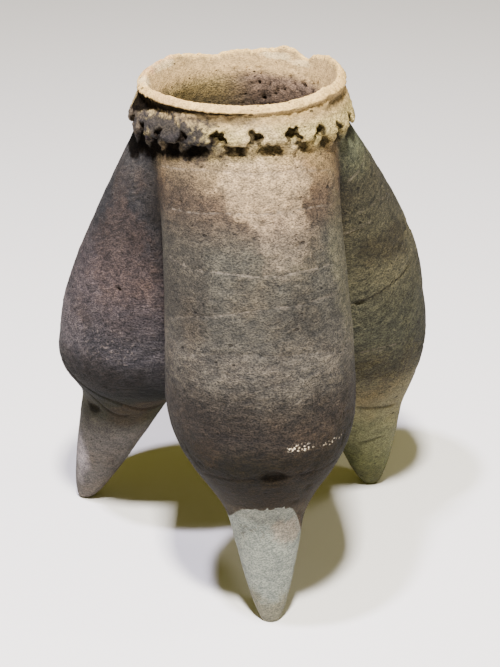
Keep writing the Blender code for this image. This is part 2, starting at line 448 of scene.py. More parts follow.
@dataclass(frozen=True)
class Pinches:
    """Finger presses along the cordon's edge: a pit, a notch, and the tongue of clay pushed down.

    Lengths are in metres, leans and nudges in degrees.  Heights and drops are from the cordon's
    lower edge, insets and standouts from its outer edge.  Each waver is its radians a metre and
    its step from one press to the next.
    """

    neck: Neck
    count: int = 20
    phase: float = -1.6
    drift: float = 2.2
    nudges: tuple[tuple[int, float], ...] = (
        (-5, 6.0), (-4, 4.2), (-3, 0.6), (-2, -1.7), (-1, -0.6), (0, 0.0), (1, 1.7), (2, 0.4), (3, -2.4),
        (4, -5.0), (5, -4.0),
    )
    pit_height: float = 0.0052
    pit_inset: float = 0.0018
    pit_shift: float = 0.0004
    pit_size: Triple = (0.0052, 0.0043, 0.0036)
    pit_lean: float = 26.0
    pit_edge: float = 0.0008
    tongue_drop: float = -0.0008
    tongue_inset: float = 0.0078
    tongue_shift: float = -0.0012
    tongue_size: Triple = (0.0048, 0.0047, 0.0072)
    tongue_joint: float = 0.0022
    notch_rise: float = 0.0020
    notch_standout: float = 0.0014
    notch_size: Triple = (0.0058, 0.0048, 0.0052)
    notch_edge: float = 0.0014
    lean_spread: float = 14.0
    unevenness: float = 0.26
    waver: float = 0.0010
    waver_across: Pair = (950.0, 2.4)
    waver_up: Pair = (1150.0, 1.7)
    seed: int = 11

    def shape(self, distance: np.ndarray, points: np.ndarray) -> np.ndarray:
        """Presses the pits into the cordon and lays the tongues against the legs.

        Args:
            distance: Signed distances to the smooth form.
            points: The same points round the pot's axis, one a row.

        Returns:
            Signed distances to the pinched form.
        """
        pitch = 360.0 / self.count
        rng = np.random.default_rng(self.seed)
        # Three of each press's four draws are used, and the fourth keeps their order.
        spread = rng.uniform(-1.0, 1.0, (self.count, 4))
        nudge = self.drift * spread[:, 0]
        for place, turn in self.nudges:
            nudge[place % self.count] = turn
        radius, bearings = round_axis(points)
        middles = self.phase + pitch * np.arange(self.count) + nudge
        gaps = np.abs(bearing_gap(bearings[:, None], middles[None, :]))
        number = gaps.argmin(axis=1)
        own = spread[number]
        across = np.radians(bearing_gap(bearings, middles[number])) * radius
        edge = self.neck.waist.radius + self.neck.cordon_standout
        sag = self.neck.cordon_sag * np.sin(np.radians(bearings)) ** 2
        level = points[:, 2] - (self.neck.cordon_foot - sag)
        scale = 1.0 + self.unevenness * own[:, 1]
        waves, step = self.waver_across
        across = across + self.waver * np.sin(waves * level + step * number)
        waves, step = self.waver_up
        level = level + self.waver * np.sin(waves * across + step * number)

        def lump(out: float, over: float, up: float, size: Triple, lean: np.ndarray) -> np.ndarray:
            """Signed distance to a leaning egg-shaped press or lump of clay.

            Args:
                out: Distance of its middle from the pot's axis.
                over: Distance of its middle beside the press's own bearing.
                up: Height of its middle above the cordon's lower edge.
                size: Half its extent outwards, across and up.
                lean: Its lean at each point, in degrees.

            Returns:
                Signed distances, negative inside.
            """
            turn = np.radians(lean)
            side = (across - over) * np.cos(turn) - (level - up) * np.sin(turn)
            high = (level - up) * np.cos(turn) + (across - over) * np.sin(turn)
            away = np.sqrt(((radius - out) / size[0]) ** 2 + (side / size[1]) ** 2 + (high / size[2]) ** 2)
            return (away - scale) * min(size)

        wobble = self.lean_spread * own[:, 2]
        tongue = lump(edge - self.tongue_inset, self.tongue_shift, self.tongue_drop, self.tongue_size, wobble)
        notch = lump(edge + self.notch_standout, 0.0, self.tongue_drop + self.notch_rise, self.notch_size,
                     wobble)
        pit = lump(edge - self.pit_inset, self.pit_shift, self.pit_height, self.pit_size,
                   self.pit_lean + wobble)
        pressed = smooth_max(distance, -notch, self.notch_edge)
        pressed = smooth_min(pressed, tongue, self.tongue_joint)
        return smooth_max(pressed, -pit, self.pit_edge)


@dataclass(frozen=True)
class SteamerForm:
    """The whole hollow tripod as one signed distance round the pot's axis."""

    legs: tuple[Leg, ...]
    neck: Neck
    pinches: Pinches
    groove: float = 0.0022
    shoulder: float = 0.0035
    neck_reach: float = 0.012
    hollow_round: float = 0.006
    thicker_top: float = 0.010
    thicker_span: Pair = (0.250, 0.288)
    worn_edge: float = 0.0009

    def legs_distance(self, points: np.ndarray) -> np.ndarray:
        """Signed distance to the three legs with the grooves between them.

        Args:
            points: Points round the pot's axis, one a row.

        Returns:
            Signed distances, negative inside.
        """
        joined = self.legs[0].distance(points)
        for leg in self.legs[1:]:
            joined = smooth_min(joined, leg.distance(points), self.groove)
        return joined

    def outer_distance(self, points: np.ndarray) -> np.ndarray:
        """Signed distance to the outside, filled in.

        Args:
            points: Points round the pot's axis, one a row.

        Returns:
            Signed distances, negative inside.
        """
        distance = self.legs_distance(points)
        high = points[:, 2] > self.neck.waist.height - self.neck.tail - self.neck_reach
        neck = self.neck.distance(points[high])
        joined = smooth_min(distance[high], neck, self.shoulder)
        distance[high] = self.pinches.shape(joined, points[high])
        return distance

    def hollow_distance(self, points: np.ndarray) -> np.ndarray:
        """Signed distance to the empty space inside.

        Args:
            points: Points round the pot's axis, one a row.

        Returns:
            Signed distances, negative in the hollow.
        """
        hollow = self.legs[0].hollow_distance(points)
        for leg in self.legs[1:]:
            hollow = smooth_min(hollow, leg.hollow_distance(points), self.hollow_round)
        hollow = hollow + self.thicker_top * eased(points[:, 2], *self.thicker_span)
        high = points[:, 2] > self.neck.waist.height - self.neck.tail
        throat = self.neck.throat_distance(points[high])
        hollow[high] = smooth_min(hollow[high], throat, self.hollow_round)
        return hollow

    def distance(self, points: np.ndarray) -> np.ndarray:
        """Signed distance to the clay."""
        outer = self.outer_distance(points)
        return smooth_max(outer, -self.hollow_distance(points), self.worn_edge)


def parted(values: np.ndarray) -> np.ndarray:
    """Fills in single grid points wherever clay would touch itself along a bare edge.

    Args:
        values: Signed distances at a grid's points.

    Returns:
        Signed distances whose net joins two faces at each edge.
    """
    values = values.copy()
    crossed = True
    while crossed:
        crossed = False
        for axis in range(3):
            layers = np.moveaxis(values, axis, 0)
            _, rows, columns = layers.shape
            shifts = ((0, 0), (1, 0), (1, 1), (0, 1))
            ring = [layers[:, down:rows - 1 + down, over:columns - 1 + over] for down, over in shifts]
            clay = [corner < 0.0 for corner in ring]
            here = (clay[0] == clay[2]) & (clay[1] == clay[3]) & (clay[0] != clay[1])
            crossed = crossed or bool(here.any())
            for first, second in ((0, 2), (1, 3)):
                nearer = ring[first] <= ring[second]
                ring[first][here & ~clay[first] & nearer] = -SLIGHT
                ring[second][here & ~clay[first] & ~nearer] = -SLIGHT
    return values


def surface_net(values: np.ndarray, corner: np.ndarray, step: float) -> tuple[np.ndarray, np.ndarray]:
    """Net of four-sided faces over the surface where a grid of distances is nothing.

    Args:
        values: Signed distances at the grid's points.
        corner: Place of the grid's first point.
        step: Spacing of the grid.

    Returns:
        Points of the net, and its faces as rows of four point numbers.
    """
    inside = values < 0.0
    shifts = np.array([(i, j, k) for i in (0, 1) for j in (0, 1) for k in (0, 1)])
    last = np.array(values.shape) - 1
    filled = np.zeros(tuple(last), dtype=np.int8)
    for shift in shifts:
        filled += inside[tuple(slice(s, s + n) for s, n in zip(shift, last))]
    cells = np.argwhere((filled > 0) & (filled < 8))
    numbers = np.full(tuple(last), -1, dtype=np.int64)
    numbers[tuple(cells.T)] = np.arange(len(cells))
    corners = [values[tuple((cells + shift).T)] for shift in shifts]
    total = np.zeros((len(cells), 3))
    crossings = np.zeros((len(cells), 1))
    for first in range(8):
        for second in range(first + 1, 8):
            if np.abs(shifts[first] - shifts[second]).sum() != 1:
                continue
            start, end = corners[first], corners[second]
            crosses = ((start < 0.0) != (end < 0.0))[:, None]
            share = (start / np.where(start == end, 1.0, start - end))[:, None]
            total += crosses * (shifts[first] + share * (shifts[second] - shifts[first]))
            crossings += crosses
    net = corner + step * (cells + total / crossings)

    faces = []
    for axis in range(3):
        across, up = (axis + 1) % 3, (axis + 2) % 3
        low = np.take(inside, np.arange(last[axis]), axis=axis)
        high = np.take(inside, np.arange(1, last[axis] + 1), axis=axis)
        edges = np.argwhere(low != high)
        sideways = edges[:, [across, up]]
        edges = edges[np.all((sideways > 0) & (sideways < last[[across, up]]), axis=1)]
        ring = []
        for back_across, back_up in ((1, 1), (0, 1), (0, 0), (1, 0)):
            cell = edges.copy()
            cell[:, across] -= back_across
            cell[:, up] -= back_up
            ring.append(numbers[tuple(cell.T)])
        ring = np.stack(ring, axis=1)
        faces.append(np.where(low[tuple(edges.T)][:, None], ring, ring[:, ::-1]))
    return net, np.concatenate(faces)


class Bench:
    """Adds nodes to one tree and joins them up, for shaders and geometry alike."""

    def __init__(self, tree: bpy.types.NodeTree) -> None:
        """Takes the tree to work on."""
        self.tree = tree

    def fill(self, node: bpy.types.Node, name: str | int, value: object) -> None:
        """Joins a socket to a node's input, or sets the input to a plain value.

        Args:
            node: The node.
            name: The input's name or number.
            value: Socket or plain value.
        """
        if isinstance(value, Socket):
            self.tree.links.new(value, node.inputs[name])
        else:
            node.inputs[name].default_value = value

    def add(self, kind: str, inputs: dict | None = None, **settings: object) -> bpy.types.Node:
        """Adds a node, sets it up and joins its inputs.

        Args:
            kind: The node's type name.
            inputs: Sockets or plain values by input name or number.
            **settings: Values for the node's own properties.

        Returns:
            The new node.
        """
        node = self.tree.nodes.new(kind)
        for name, value in settings.items():
            setattr(node, name, value)
        for name, value in (inputs or {}).items():
            self.fill(node, name, value)
        return node

    def math(self, operation: str, first: object, second: object = 0.0, third: object = 0.0) -> Socket:
        """Adds a Math node and gives its result's socket."""
        return self.add("ShaderNodeMath", {0: first, 1: second, 2: third}, operation=operation).outputs[0]

    def vector(self, operation: str, first: object, second: object) -> Socket:
        """Adds a Vector Math node for two vectors and gives its result's socket."""
        return self.add("ShaderNodeVectorMath", {0: first, 1: second}, operation=operation).outputs[0]

    def spread(self, value: object, low: float, high: float, start: float = 0.0,
               end: float = 1.0) -> Socket:
        """Maps the range of a value from low to high smoothly onto the range from start to end."""
        inputs = {"Value": value, "From Min": low, "From Max": high, "To Min": start, "To Max": end}
        return self.add("ShaderNodeMapRange", inputs, interpolation_type="SMOOTHSTEP").outputs["Result"]

    def noise(self, place: object, scale: float, detail: float = 4.0, roughness: float = 0.55,
              distortion: float = 0.0, seed: object = 0.0) -> Socket:
        """Adds a Noise Texture.

        Args:
            place: Socket of the place that it is read at.
            scale: Features per metre.
            detail: Octaves of finer noise.
            roughness: Strength of each finer octave.
            distortion: How far the place is stirred.
            seed: Fourth coordinate, which picks the pattern.

        Returns:
            Socket of the noise from nothing to one.
        """
        inputs = {"Vector": place, "W": seed, "Scale": scale, "Detail": detail, "Roughness": roughness,
                  "Distortion": distortion}
        node = self.add("ShaderNodeTexNoise", inputs, noise_dimensions="4D")
        return node.outputs[0]

    def cells(self, place: object, scale: object) -> bpy.types.NodeOutputs:
        """Adds a Voronoi Texture, read at a place, and gives its outputs."""
        return self.add("ShaderNodeTexVoronoi", {"Vector": place, "Scale": scale}, feature="F1").outputs

    def centred(self, pattern: object) -> Socket:
        """A pattern about nothing instead of one half."""
        return self.math("SUBTRACT", pattern, 0.5)

    def mix(self, share: object, first: object, second: object, blend: str = "MIX") -> Socket:
        """Mixes two colours.

        Args:
            share: Socket or number, one for all of the second.
            first: First colour or its socket.
            second: Second colour or its socket.
            blend: The way that they mix.

        Returns:
            Socket of the mixed colour.
        """
        node = self.add("ShaderNodeMix", data_type="RGBA", blend_type=blend, clamp_factor=True)
        for number, value in ((0, share), (6, first), (7, second)):
            self.fill(node, number, value)
        return node.outputs[2]

    def coat(self, body: object, mask: object, share: object, code: str) -> Socket:
        """Lays a colour over the body's colour where a mask says, at most by a share."""
        return self.mix(self.math("MULTIPLY", mask, share), body, colour(code))


def colour(code: str) -> Colour:
    """Linear colour of a six-digit colour code.

    Args:
        code: Red, green and blue as hexadecimal pairs.

    Returns:
        Linear red, green, blue and a full alpha.
    """
    parts = []
    for start in (0, 2, 4):
        value = int(code[start:start + 2], 16) / 255.0
        parts.append(value / 12.92 if value <= 0.04045 else ((value + 0.055) / 1.055) ** 2.4)
    return (parts[0], parts[1], parts[2], 1.0)


@dataclass(frozen=True)
class DrawnLine:
    """A shallow line round a leg: a scratch in the soft clay, or the crease of a joint.

    It is drawn through three turns round the pouch, in degrees, at three levels.
    """

    turns: Triple
    levels: Triple
    width: float = 0.0006
    depth: float = 0.0005
    pale: float = 1.0
    fade: float = 14.0
    wander: float = 0.0004
    wander_waves: float = 7.0
    wander_start: float = 900.0
    reach: float = 0.075

    def share(self, leg: Leg, points: np.ndarray, widened: float = 1.0) -> np.ndarray:
        """How far points lie in the line.

        Args:
            leg: The leg that it is drawn on.
            points: Points round the pot's axis, one a row.
            widened: Factor on the line's width.

        Returns:
            Shares from nothing to one.
        """
        away, turns = leg.round_pouch(points)
        phase = np.radians(self.wander_waves * turns) + self.wander_start * self.levels[0]
        level = np.polyval(np.polyfit(self.turns, self.levels, 2), turns) + self.wander * np.sin(phase)
        first, _, last = self.turns
        faded = eased(turns, first - self.fade, first) * (1.0 - eased(turns, last, last + self.fade))
        off = (points[:, 2] - level) / (self.width * widened)
        return faded * (away < self.reach) * np.clip(1.0 - off * off, 0.0, 1.0)


@dataclass(frozen=True)
class Press:
    """A dent, chip or pit in the skin, or a raised lump where its depth is below nothing."""

    place: Triple
    size: Triple
    depth: float

    def cut(self, points: np.ndarray) -> np.ndarray:
        """Depth of clay taken off at points.

        Args:
            points: Points round the pot's axis, one a row.

        Returns:
            Depths in metres.
        """
        away = np.square((points - np.array(self.place)) / np.array(self.size)).sum(axis=1)
        share = np.clip(1.0 - away, 0.0, 1.0)
        return self.depth * share * share * (3.0 - 2.0 * share)


@dataclass(frozen=True)
class Stain:
    """A patch of another colour with a ragged edge: fire cloud, ash, lime or rust, and in places painted
    light or painted shade.
    """

    place: Triple
    size: Triple
    code: str
    share: float
    ragged: float = 0.9
    grain: float = 55.0
    speckle: float = 0.0


class Mask(str, Enum):
    """Names of the shares that each point of the clay carries for its relief and its finish."""

    INSIDE = "inside"
    LEFT = "left_leg"
    RIGHT = "right_leg"
    # Painted shade where two legs meet.
    GROOVE = "groove"
    BREAK = "broken_edge"
    CORDON = "cordon"
    # Finger pits, darkened with painted shade.
    PIT = "finger_pit"
    # Painted shadow that the cordon casts on the legs.
    GAP = "gap_below_cordon"
    # Painted shadow under the lip.
    RECESS = "recess_below_lip"
    SCRATCH = "scratch"
    # Creases of the drawn lines, darkened with painted shade.
    CREASE = "crease"
    # Ash on the front foot's tip, partly painted light.
    TIP = "ash_tip"
    CORDED = "corded"
    CRUST = "crust"


FRONT_LEG = Leg(
    bearing=0.0, pouch_sweep=1.57, foot_height=0.0820, foot_reach=0.1180, foot_radius=0.0336,
    foot_sway=0.0010, belly_height=0.0600, pouch_radius=0.0591, pouch_reach=0.0807, foot_seat=0.040,
    foot_joint=0.026,
)

LEFT_LEG = Leg(
    bearing=-122.6, pouch_sweep=1.52, foot_height=0.0870, foot_reach=0.1193, foot_radius=0.0345,
    foot_sway=0.0043, belly_height=0.0500, pouch_radius=0.0590, pouch_reach=0.0694,
)

RIGHT_LEG = Leg(
    bearing=116.8, pouch_sweep=1.74, foot_height=0.0680, foot_reach=0.1125, foot_radius=0.0337,
    foot_sway=0.0008, belly_height=0.0920, pouch_radius=0.0578, pouch_reach=0.0777,
)

RIM_BREAKS = (
    RimBreak(-88.0, 16.0, -0.0024),
    RimBreak(-137.0, 9.0, 0.0016),
    RimBreak(-171.0, 13.0, -0.0030),
    RimBreak(143.0, 12.0, 0.0030),
    RimBreak(128.0, 6.5, -0.0036),
    RimBreak(98.0, 26.0, 0.0056),
    RimBreak(48.0, 22.0, 0.0024),
)

FRONT_TURNS = (-66.0, -10.0, 44.0)

FRONT_LINES = (
    DrawnLine(FRONT_TURNS, (0.2780, 0.2826, 0.2774)),
    DrawnLine(FRONT_TURNS, (0.2560, 0.2612, 0.2588)),
    DrawnLine(FRONT_TURNS, (0.2285, 0.2292, 0.2279)),
    DrawnLine(FRONT_TURNS, (0.1980, 0.2108, 0.2115), pale=0.7),
    DrawnLine(FRONT_TURNS, (0.1795, 0.1872, 0.1816), pale=0.25),
    DrawnLine((-60.0, -25.0, 45.0), (0.1060, 0.1098, 0.1120), width=0.0013, depth=0.0004, pale=0.0),
)

LEFT_LINES = (
    DrawnLine((58.0, 95.0, 150.0), (0.1130, 0.0965, 0.0860), width=0.0017, depth=0.0010, pale=0.0),
    DrawnLine((62.0, 82.0, 112.0), (0.1010, 0.0880, 0.0820), width=0.0015, depth=0.0006, pale=0.0),
)

RIGHT_LINES = (
    DrawnLine((-125.0, -107.0, -88.0), (0.0785, 0.0765, 0.0757), width=0.0016, depth=0.0012, pale=0.0),
    DrawnLine((-140.0, -128.0, -112.0), (0.0450, 0.0465, 0.0478), width=0.0013, depth=0.0008, pale=0.0),
    DrawnLine((-118.0, -106.0, -90.0), (0.1345, 0.1350, 0.1357), width=0.0008, pale=0.9),
    DrawnLine((-80.0, -65.0, -48.0), (0.2590, 0.2630, 0.2657), width=0.0009, pale=0.6),
    DrawnLine((-84.0, -70.0, -52.0), (0.2365, 0.2380, 0.2377), width=0.0009, pale=0.5),
    DrawnLine((-112.0, -101.0, -92.0), (0.2220, 0.2250, 0.2265), width=0.0011, depth=-0.0006, pale=0.5),
    DrawnLine((-112.0, -92.0, -70.0), (0.1735, 0.1785, 0.1860), width=0.0011, depth=0.0006, pale=0.0),
)

# Places are in the pot's frame, with the front leg towards -Y.
PRESSES = (
    Press((-0.0010, -0.1400, 0.1120), (0.0105, 0.0140, 0.0062), 0.0040),
    Press((0.0210, -0.1290, 0.1002), (0.0030, 0.0080, 0.0036), 0.0009),
    Press((0.0140, -0.1250, 0.0886), (0.0034, 0.0080, 0.0028), 0.0007),
    Press((0.0735, -0.0240, 0.1720), (0.0050, 0.0080, 0.0026), 0.0018),
    Press((-0.0820, -0.0160, 0.1880), (0.0022, 0.0030, 0.0022), 0.0018),
    Press((-0.0970, 0.0280, 0.0845), (0.0050, 0.0090, 0.0034), 0.0022),
    Press((-0.0500, -0.1090, 0.1580), (0.0026, 0.0030, 0.0014), 0.0010),
    Press((-0.0290, -0.1290, 0.1588), (0.0036, 0.0030, 0.0014), 0.0010),
    Press((-0.0280, -0.1250, 0.1755), (0.0024, 0.0030, 0.0013), 0.0010),
    Press((-0.0470, -0.0610, 0.2622), (0.0026, 0.0030, 0.0016), 0.0011),
    Press((-0.0010, -0.0900, 0.2548), (0.0024, 0.0030, 0.0015), 0.0010),
    Press((0.0210, -0.0930, 0.2427), (0.0028, 0.0030, 0.0014), 0.0010),
    Press((0.0900, -0.0060, 0.0930), (0.0120, 0.0140, 0.0070), 0.0010),
    Press((-0.0590, -0.0250, 0.3098), (0.0200, 0.0330, 0.0068), 0.0030),
    Press((-0.0250, -0.0600, 0.3110), (0.0260, 0.0160, 0.0040), 0.0018),
    Press((0.0560, -0.0330, 0.3120), (0.0160, 0.0260, 0.0044), 0.0022),
)

# Places are in the pot's frame too.  Later stains lie over earlier ones.
STAINS = (
    # Paler top of the front leg: partly paler clay, partly a painted pool of light.
    Stain((0.006, -0.075, 0.279), (0.033, 0.030, 0.030), "a8967a", 0.50),
    Stain((0.012, -0.090, 0.246), (0.020, 0.030, 0.020), "85796a", 0.30),
    # Darker over the left of the cordon and its edge: partly the clay's own grey, partly painted shade from
    # the lip and the cordon.
    Stain((-0.050, -0.050, 0.2930), (0.034, 0.034, 0.0095), "2a2526", 0.85, 0.7, 90.0),
    Stain((-0.072, -0.010, 0.2985), (0.022, 0.032, 0.016), "332d35", 0.85, 0.7, 90.0),
    Stain((-0.024, -0.068, 0.2935), (0.026, 0.020, 0.0060), "39332d", 0.65, 0.7, 90.0),
    Stain((-0.053, -0.045, 0.3020), (0.037, 0.037, 0.0125), "242326", 0.96, 0.8, 140.0),
    # Painted shade under the lip, at the front-left and at the right.
    Stain((-0.026, -0.060, 0.3120), (0.034, 0.020, 0.0030), "3a342c", 0.60, 0.9, 140.0),
    Stain((0.054, -0.036, 0.3125), (0.016, 0.024, 0.0030), "4c4230", 0.65, 0.4, 90.0),
    # Darker along the front leg's left edge.
    Stain((-0.046, -0.080, 0.235), (0.020, 0.050, 0.070), "2b2825", 0.50, 0.5, 40.0),
    Stain((0.054, -0.075, 0.225), (0.014, 0.040, 0.070), "5c5c4a", 0.40, 0.5, 40.0),
    Stain((0.0947, -0.014, 0.206), (0.022, 0.034, 0.014), "231f16", 0.60, 0.7, 40.0),
    Stain((0.000, -0.080, 0.176), (0.060, 0.060, 0.018), "57514a", 0.25, 0.8, 40.0),
    Stain((0.000, -0.122, 0.000), (0.034, 0.034, 0.022), "5d5743", 0.60, 0.7, 90.0),
    Stain((-0.055, 0.035, 0.3215), (0.020, 0.030, 0.004), "b3826a", 0.35, 0.6, 90.0),
    Stain((-0.052, -0.034, 0.3205), (0.014, 0.020, 0.004), "a8705c", 0.15, 0.6, 90.0),
    Stain((-0.012, -0.135, 0.150), (0.055, 0.050, 0.018), "1e1b19", 0.50),
    Stain((-0.041, -0.124, 0.122), (0.013, 0.015, 0.010), "33291e", 0.25),
    Stain((0.008, -0.141, 0.112), (0.016, 0.020, 0.008), "1f1b17", 0.55),
    Stain((0.015, -0.140, 0.1312), (0.011, 0.012, 0.0032), "cfcabf", 0.90, 0.5, 90.0, 620.0),
    Stain((0.036, -0.128, 0.1290), (0.010, 0.012, 0.0016), "c4bfb4", 0.75, 0.5, 90.0, 620.0),
    Stain((-0.115, 0.022, 0.148), (0.018, 0.026, 0.022), "6c6770", 0.24, 0.8, 60.0),
    Stain((-0.096, -0.004, 0.150), (0.034, 0.030, 0.016), "726c6e", 0.30, 0.9, 60.0, 380.0),
    Stain((-0.111, 0.040, 0.036), (0.010, 0.014, 0.026), "98939a", 0.60, 0.4),
    Stain((-0.084, -0.014, 0.215), (0.030, 0.030, 0.040), "44362f", 0.30),
    Stain((-0.080, -0.012, 0.262), (0.016, 0.030, 0.020), "3a312e", 0.30),
    Stain((-0.095, 0.008, 0.122), (0.045, 0.040, 0.020), "1a1716", 0.60),
    Stain((-0.074, 0.016, 0.082), (0.016, 0.020, 0.011), "352a21", 0.40),
    Stain((-0.060, 0.014, 0.092), (0.016, 0.020, 0.008), "3c3128", 0.35),
    Stain((-0.097, 0.027, 0.084), (0.007, 0.010, 0.004), "17130f", 0.75),
    Stain((0.087, 0.014, 0.069), (0.012, 0.016, 0.006), "6c6248", 0.15),
    Stain((0.096, 0.002, 0.093), (0.013, 0.018, 0.008), "6c6248", 0.15),
    Stain((0.097, 0.028, 0.008), (0.020, 0.024, 0.014), "2e2b20", 0.40, 0.6),
    Stain((0.030, 0.048, 0.3180), (0.013, 0.010, 0.0022), "bfac82", 0.75, 0.8, 90.0),
    Stain((0.046, 0.036, 0.3160), (0.012, 0.012, 0.0020), "bba77d", 0.60, 0.8, 90.0),
    Stain((-0.059, 0.003, 0.3180), (0.007, 0.010, 0.004), "bfad87", 0.70, 0.8, 90.0),
    Stain((-0.046, 0.038, 0.3185), (0.010, 0.013, 0.0030), "beab82", 0.70, 0.8, 90.0),
    Stain((0.012, -0.123, 0.064), (0.013, 0.015, 0.012), "8f7460", 0.30),
    Stain((0.000, -0.128, 0.0775), (0.034, 0.026, 0.0075), "4d473d", 0.32, 0.8),
    Stain((-0.010, -0.122, 0.062), (0.013, 0.015, 0.012), "55504a", 0.45, 0.9, 90.0, 330.0),
)


@dataclass(frozen=True)
class ClayRelief:
    """Hand-made unevenness of the skin, made by Geometry Nodes along the surface's normals."""

    undulation: float = 0.0015
    undulation_size: float = 26.0
    lumps: float = 0.0007
    lump_size: float = 85.0
    cord_marks: float = 0.0011
    cord_mark_size: float = 105.0
    flakes: float = 0.0005
    flake_size: float = 46.0
    nodules: float = 0.0034
    nodule_size: float = 215.0
    crust: float = 0.0032
    crust_size: float = 240.0
    flake_edge: Pair = (0.545, 0.575)
    flake_middle: float = 0.85
    crust_edge: Pair = (0.05, 0.45)
    crust_heights: Pair = (-1.0, 0.35)
    seed: float = 3.0

    def values(self) -> dict[str, float]:
        """Names of the tree's inputs and what they are set to."""
        named = {field.name.replace("_", " ").title(): getattr(self, field.name) for field in fields(self)}
        return {name: value for name, value in named.items() if isinstance(value, float)}

    def tree(self) -> bpy.types.NodeTree:
        """Builds the tree that moves each point of the skin along its normal.

        Returns:
            The tree, with an input for each size.
        """
        tree = bpy.data.node_groups.new("clay_relief", "GeometryNodeTree")
        tree.interface.new_socket("Clay", in_out="INPUT", socket_type="NodeSocketGeometry")
        for name in self.values():
            tree.interface.new_socket(name, in_out="INPUT", socket_type="NodeSocketFloat")
        tree.interface.new_socket("Finish", in_out="INPUT", socket_type="NodeSocketMaterial")
        tree.interface.new_socket("Clay", in_out="OUTPUT", socket_type="NodeSocketGeometry")
        bench = Bench(tree)
        sizes = bench.add("NodeGroupInput").outputs
        seed = sizes["Seed"]
        place = bench.add("GeometryNodeInputPosition").outputs[0]

        def carried(name: str, kind: str = "FLOAT") -> Socket:
            """Socket of what the points carry under a name."""
            return bench.add("GeometryNodeInputNamedAttribute", {"Name": name}, data_type=kind).outputs[0]

        def relief(pattern: object, size: str, mask: object = 1.0, middle: object = 0.5) -> Socket:
            """Height of a pattern about its middle, as strong as a size and a mask let it be."""
            height = bench.math("MULTIPLY", sizes[size], mask)
            return bench.math("MULTIPLY", bench.math("SUBTRACT", pattern, middle), height)

        broad = bench.noise(place, sizes["Undulation Size"], detail=2.0, seed=seed)
        knobbly = bench.noise(place, sizes["Lump Size"], detail=3.0, seed=seed)
        marks = bench.noise(carried(LAY, "FLOAT_VECTOR"), sizes["Cord Mark Size"], detail=2.0, roughness=0.6,
                            distortion=0.3, seed=seed)
        flaked = bench.noise(place, sizes["Flake Size"], detail=4.0, roughness=0.65, seed=seed)
        flaked = bench.spread(flaked, *self.flake_edge, start=1.0, end=0.0)
        bumpy = bench.noise(place, sizes["Nodule Size"], detail=2.0, roughness=0.6, seed=seed)
        cells = bench.cells(place, sizes["Crust Size"])
        crust = bench.spread(cells["Distance"], *self.crust_edge, *self.crust_heights)
        unbroken = bench.math("SUBTRACT", 1.0, carried(Mask.BREAK.value))
        corded = carried(Mask.CORDED.value)
        total = relief(broad, "Undulation")
        for part in (
            relief(knobbly, "Lumps", unbroken),
            relief(marks, "Cord Marks", corded),
            relief(flaked, "Flakes", corded, sizes["Flake Middle"]),
            relief(bumpy, "Nodules", carried(Mask.CORDON.value)),
            relief(crust, "Crust", carried(Mask.CRUST.value), 0.0),
        ):
            total = bench.math("ADD", total, part)
        normal = bench.add("GeometryNodeInputNormal").outputs[0]
        offset = bench.add("ShaderNodeVectorMath", {0: normal, "Scale": total}, operation="SCALE").outputs[0]
        skin = bench.add("GeometryNodeSetPosition", {"Geometry": sizes["Clay"], "Offset": offset})
        skin = bench.add("GeometryNodeSetShadeSmooth", {"Geometry": skin.outputs[0]})
        skin = bench.add("GeometryNodeRealizeInstances", {"Geometry": skin.outputs[0]})
        finish = sizes["Finish"]
        skin = bench.add("GeometryNodeSetMaterial", {"Geometry": skin.outputs[0], "Material": finish})
        bench.add("NodeGroupOutput", {"Clay": skin.outputs[0]})
        return tree

    def apply(self, piece: bpy.types.Object, finish: bpy.types.Material) -> None:
        """Moves the skin of a piece and keeps the result as its plain mesh.

        Args:
            piece: The clay, whose points carry the masks.
            finish: Material set by the tree.
        """
        tree = self.tree()
        values = {**self.values(), "Finish": finish}
        modifier = piece.modifiers.new("Clay relief", "NODES")
        modifier.node_group = tree
        for item in tree.interface.items_tree:
            if item.in_out == "INPUT" and item.name in values:
                modifier[item.identifier] = values[item.name]
        keep_evaluated(piece)


def keep_evaluated(piece: bpy.types.Object) -> None:
    """Replaces a piece's mesh by what its modifiers make of it, and removes them.

    Args:
        piece: The piece to settle.
    """
    graph = bpy.context.evaluated_depsgraph_get()
    made = bpy.data.meshes.new_from_object(piece.evaluated_get(graph), depsgraph=graph)
    piece.modifiers.clear()
    old = piece.data
    piece.data = made
    made.name = piece.name
    bpy.data.meshes.remove(old)


def triangle_count(piece: bpy.types.Object) -> int:
    """Number of triangles that a piece's faces come to."""
    return sum(len(face.vertices) - 2 for face in piece.data.polygons)


def shown(name: str, data: bpy.types.ID) -> bpy.types.Object:
    """Makes an object of some data and links it to the scene.

    Args:
        name: The object's name.
        data: Its mesh, camera or lamp.

    Returns:
        The object.
    """
    made = bpy.data.objects.new(name, data)
    bpy.context.scene.collection.objects.link(made)
    return made


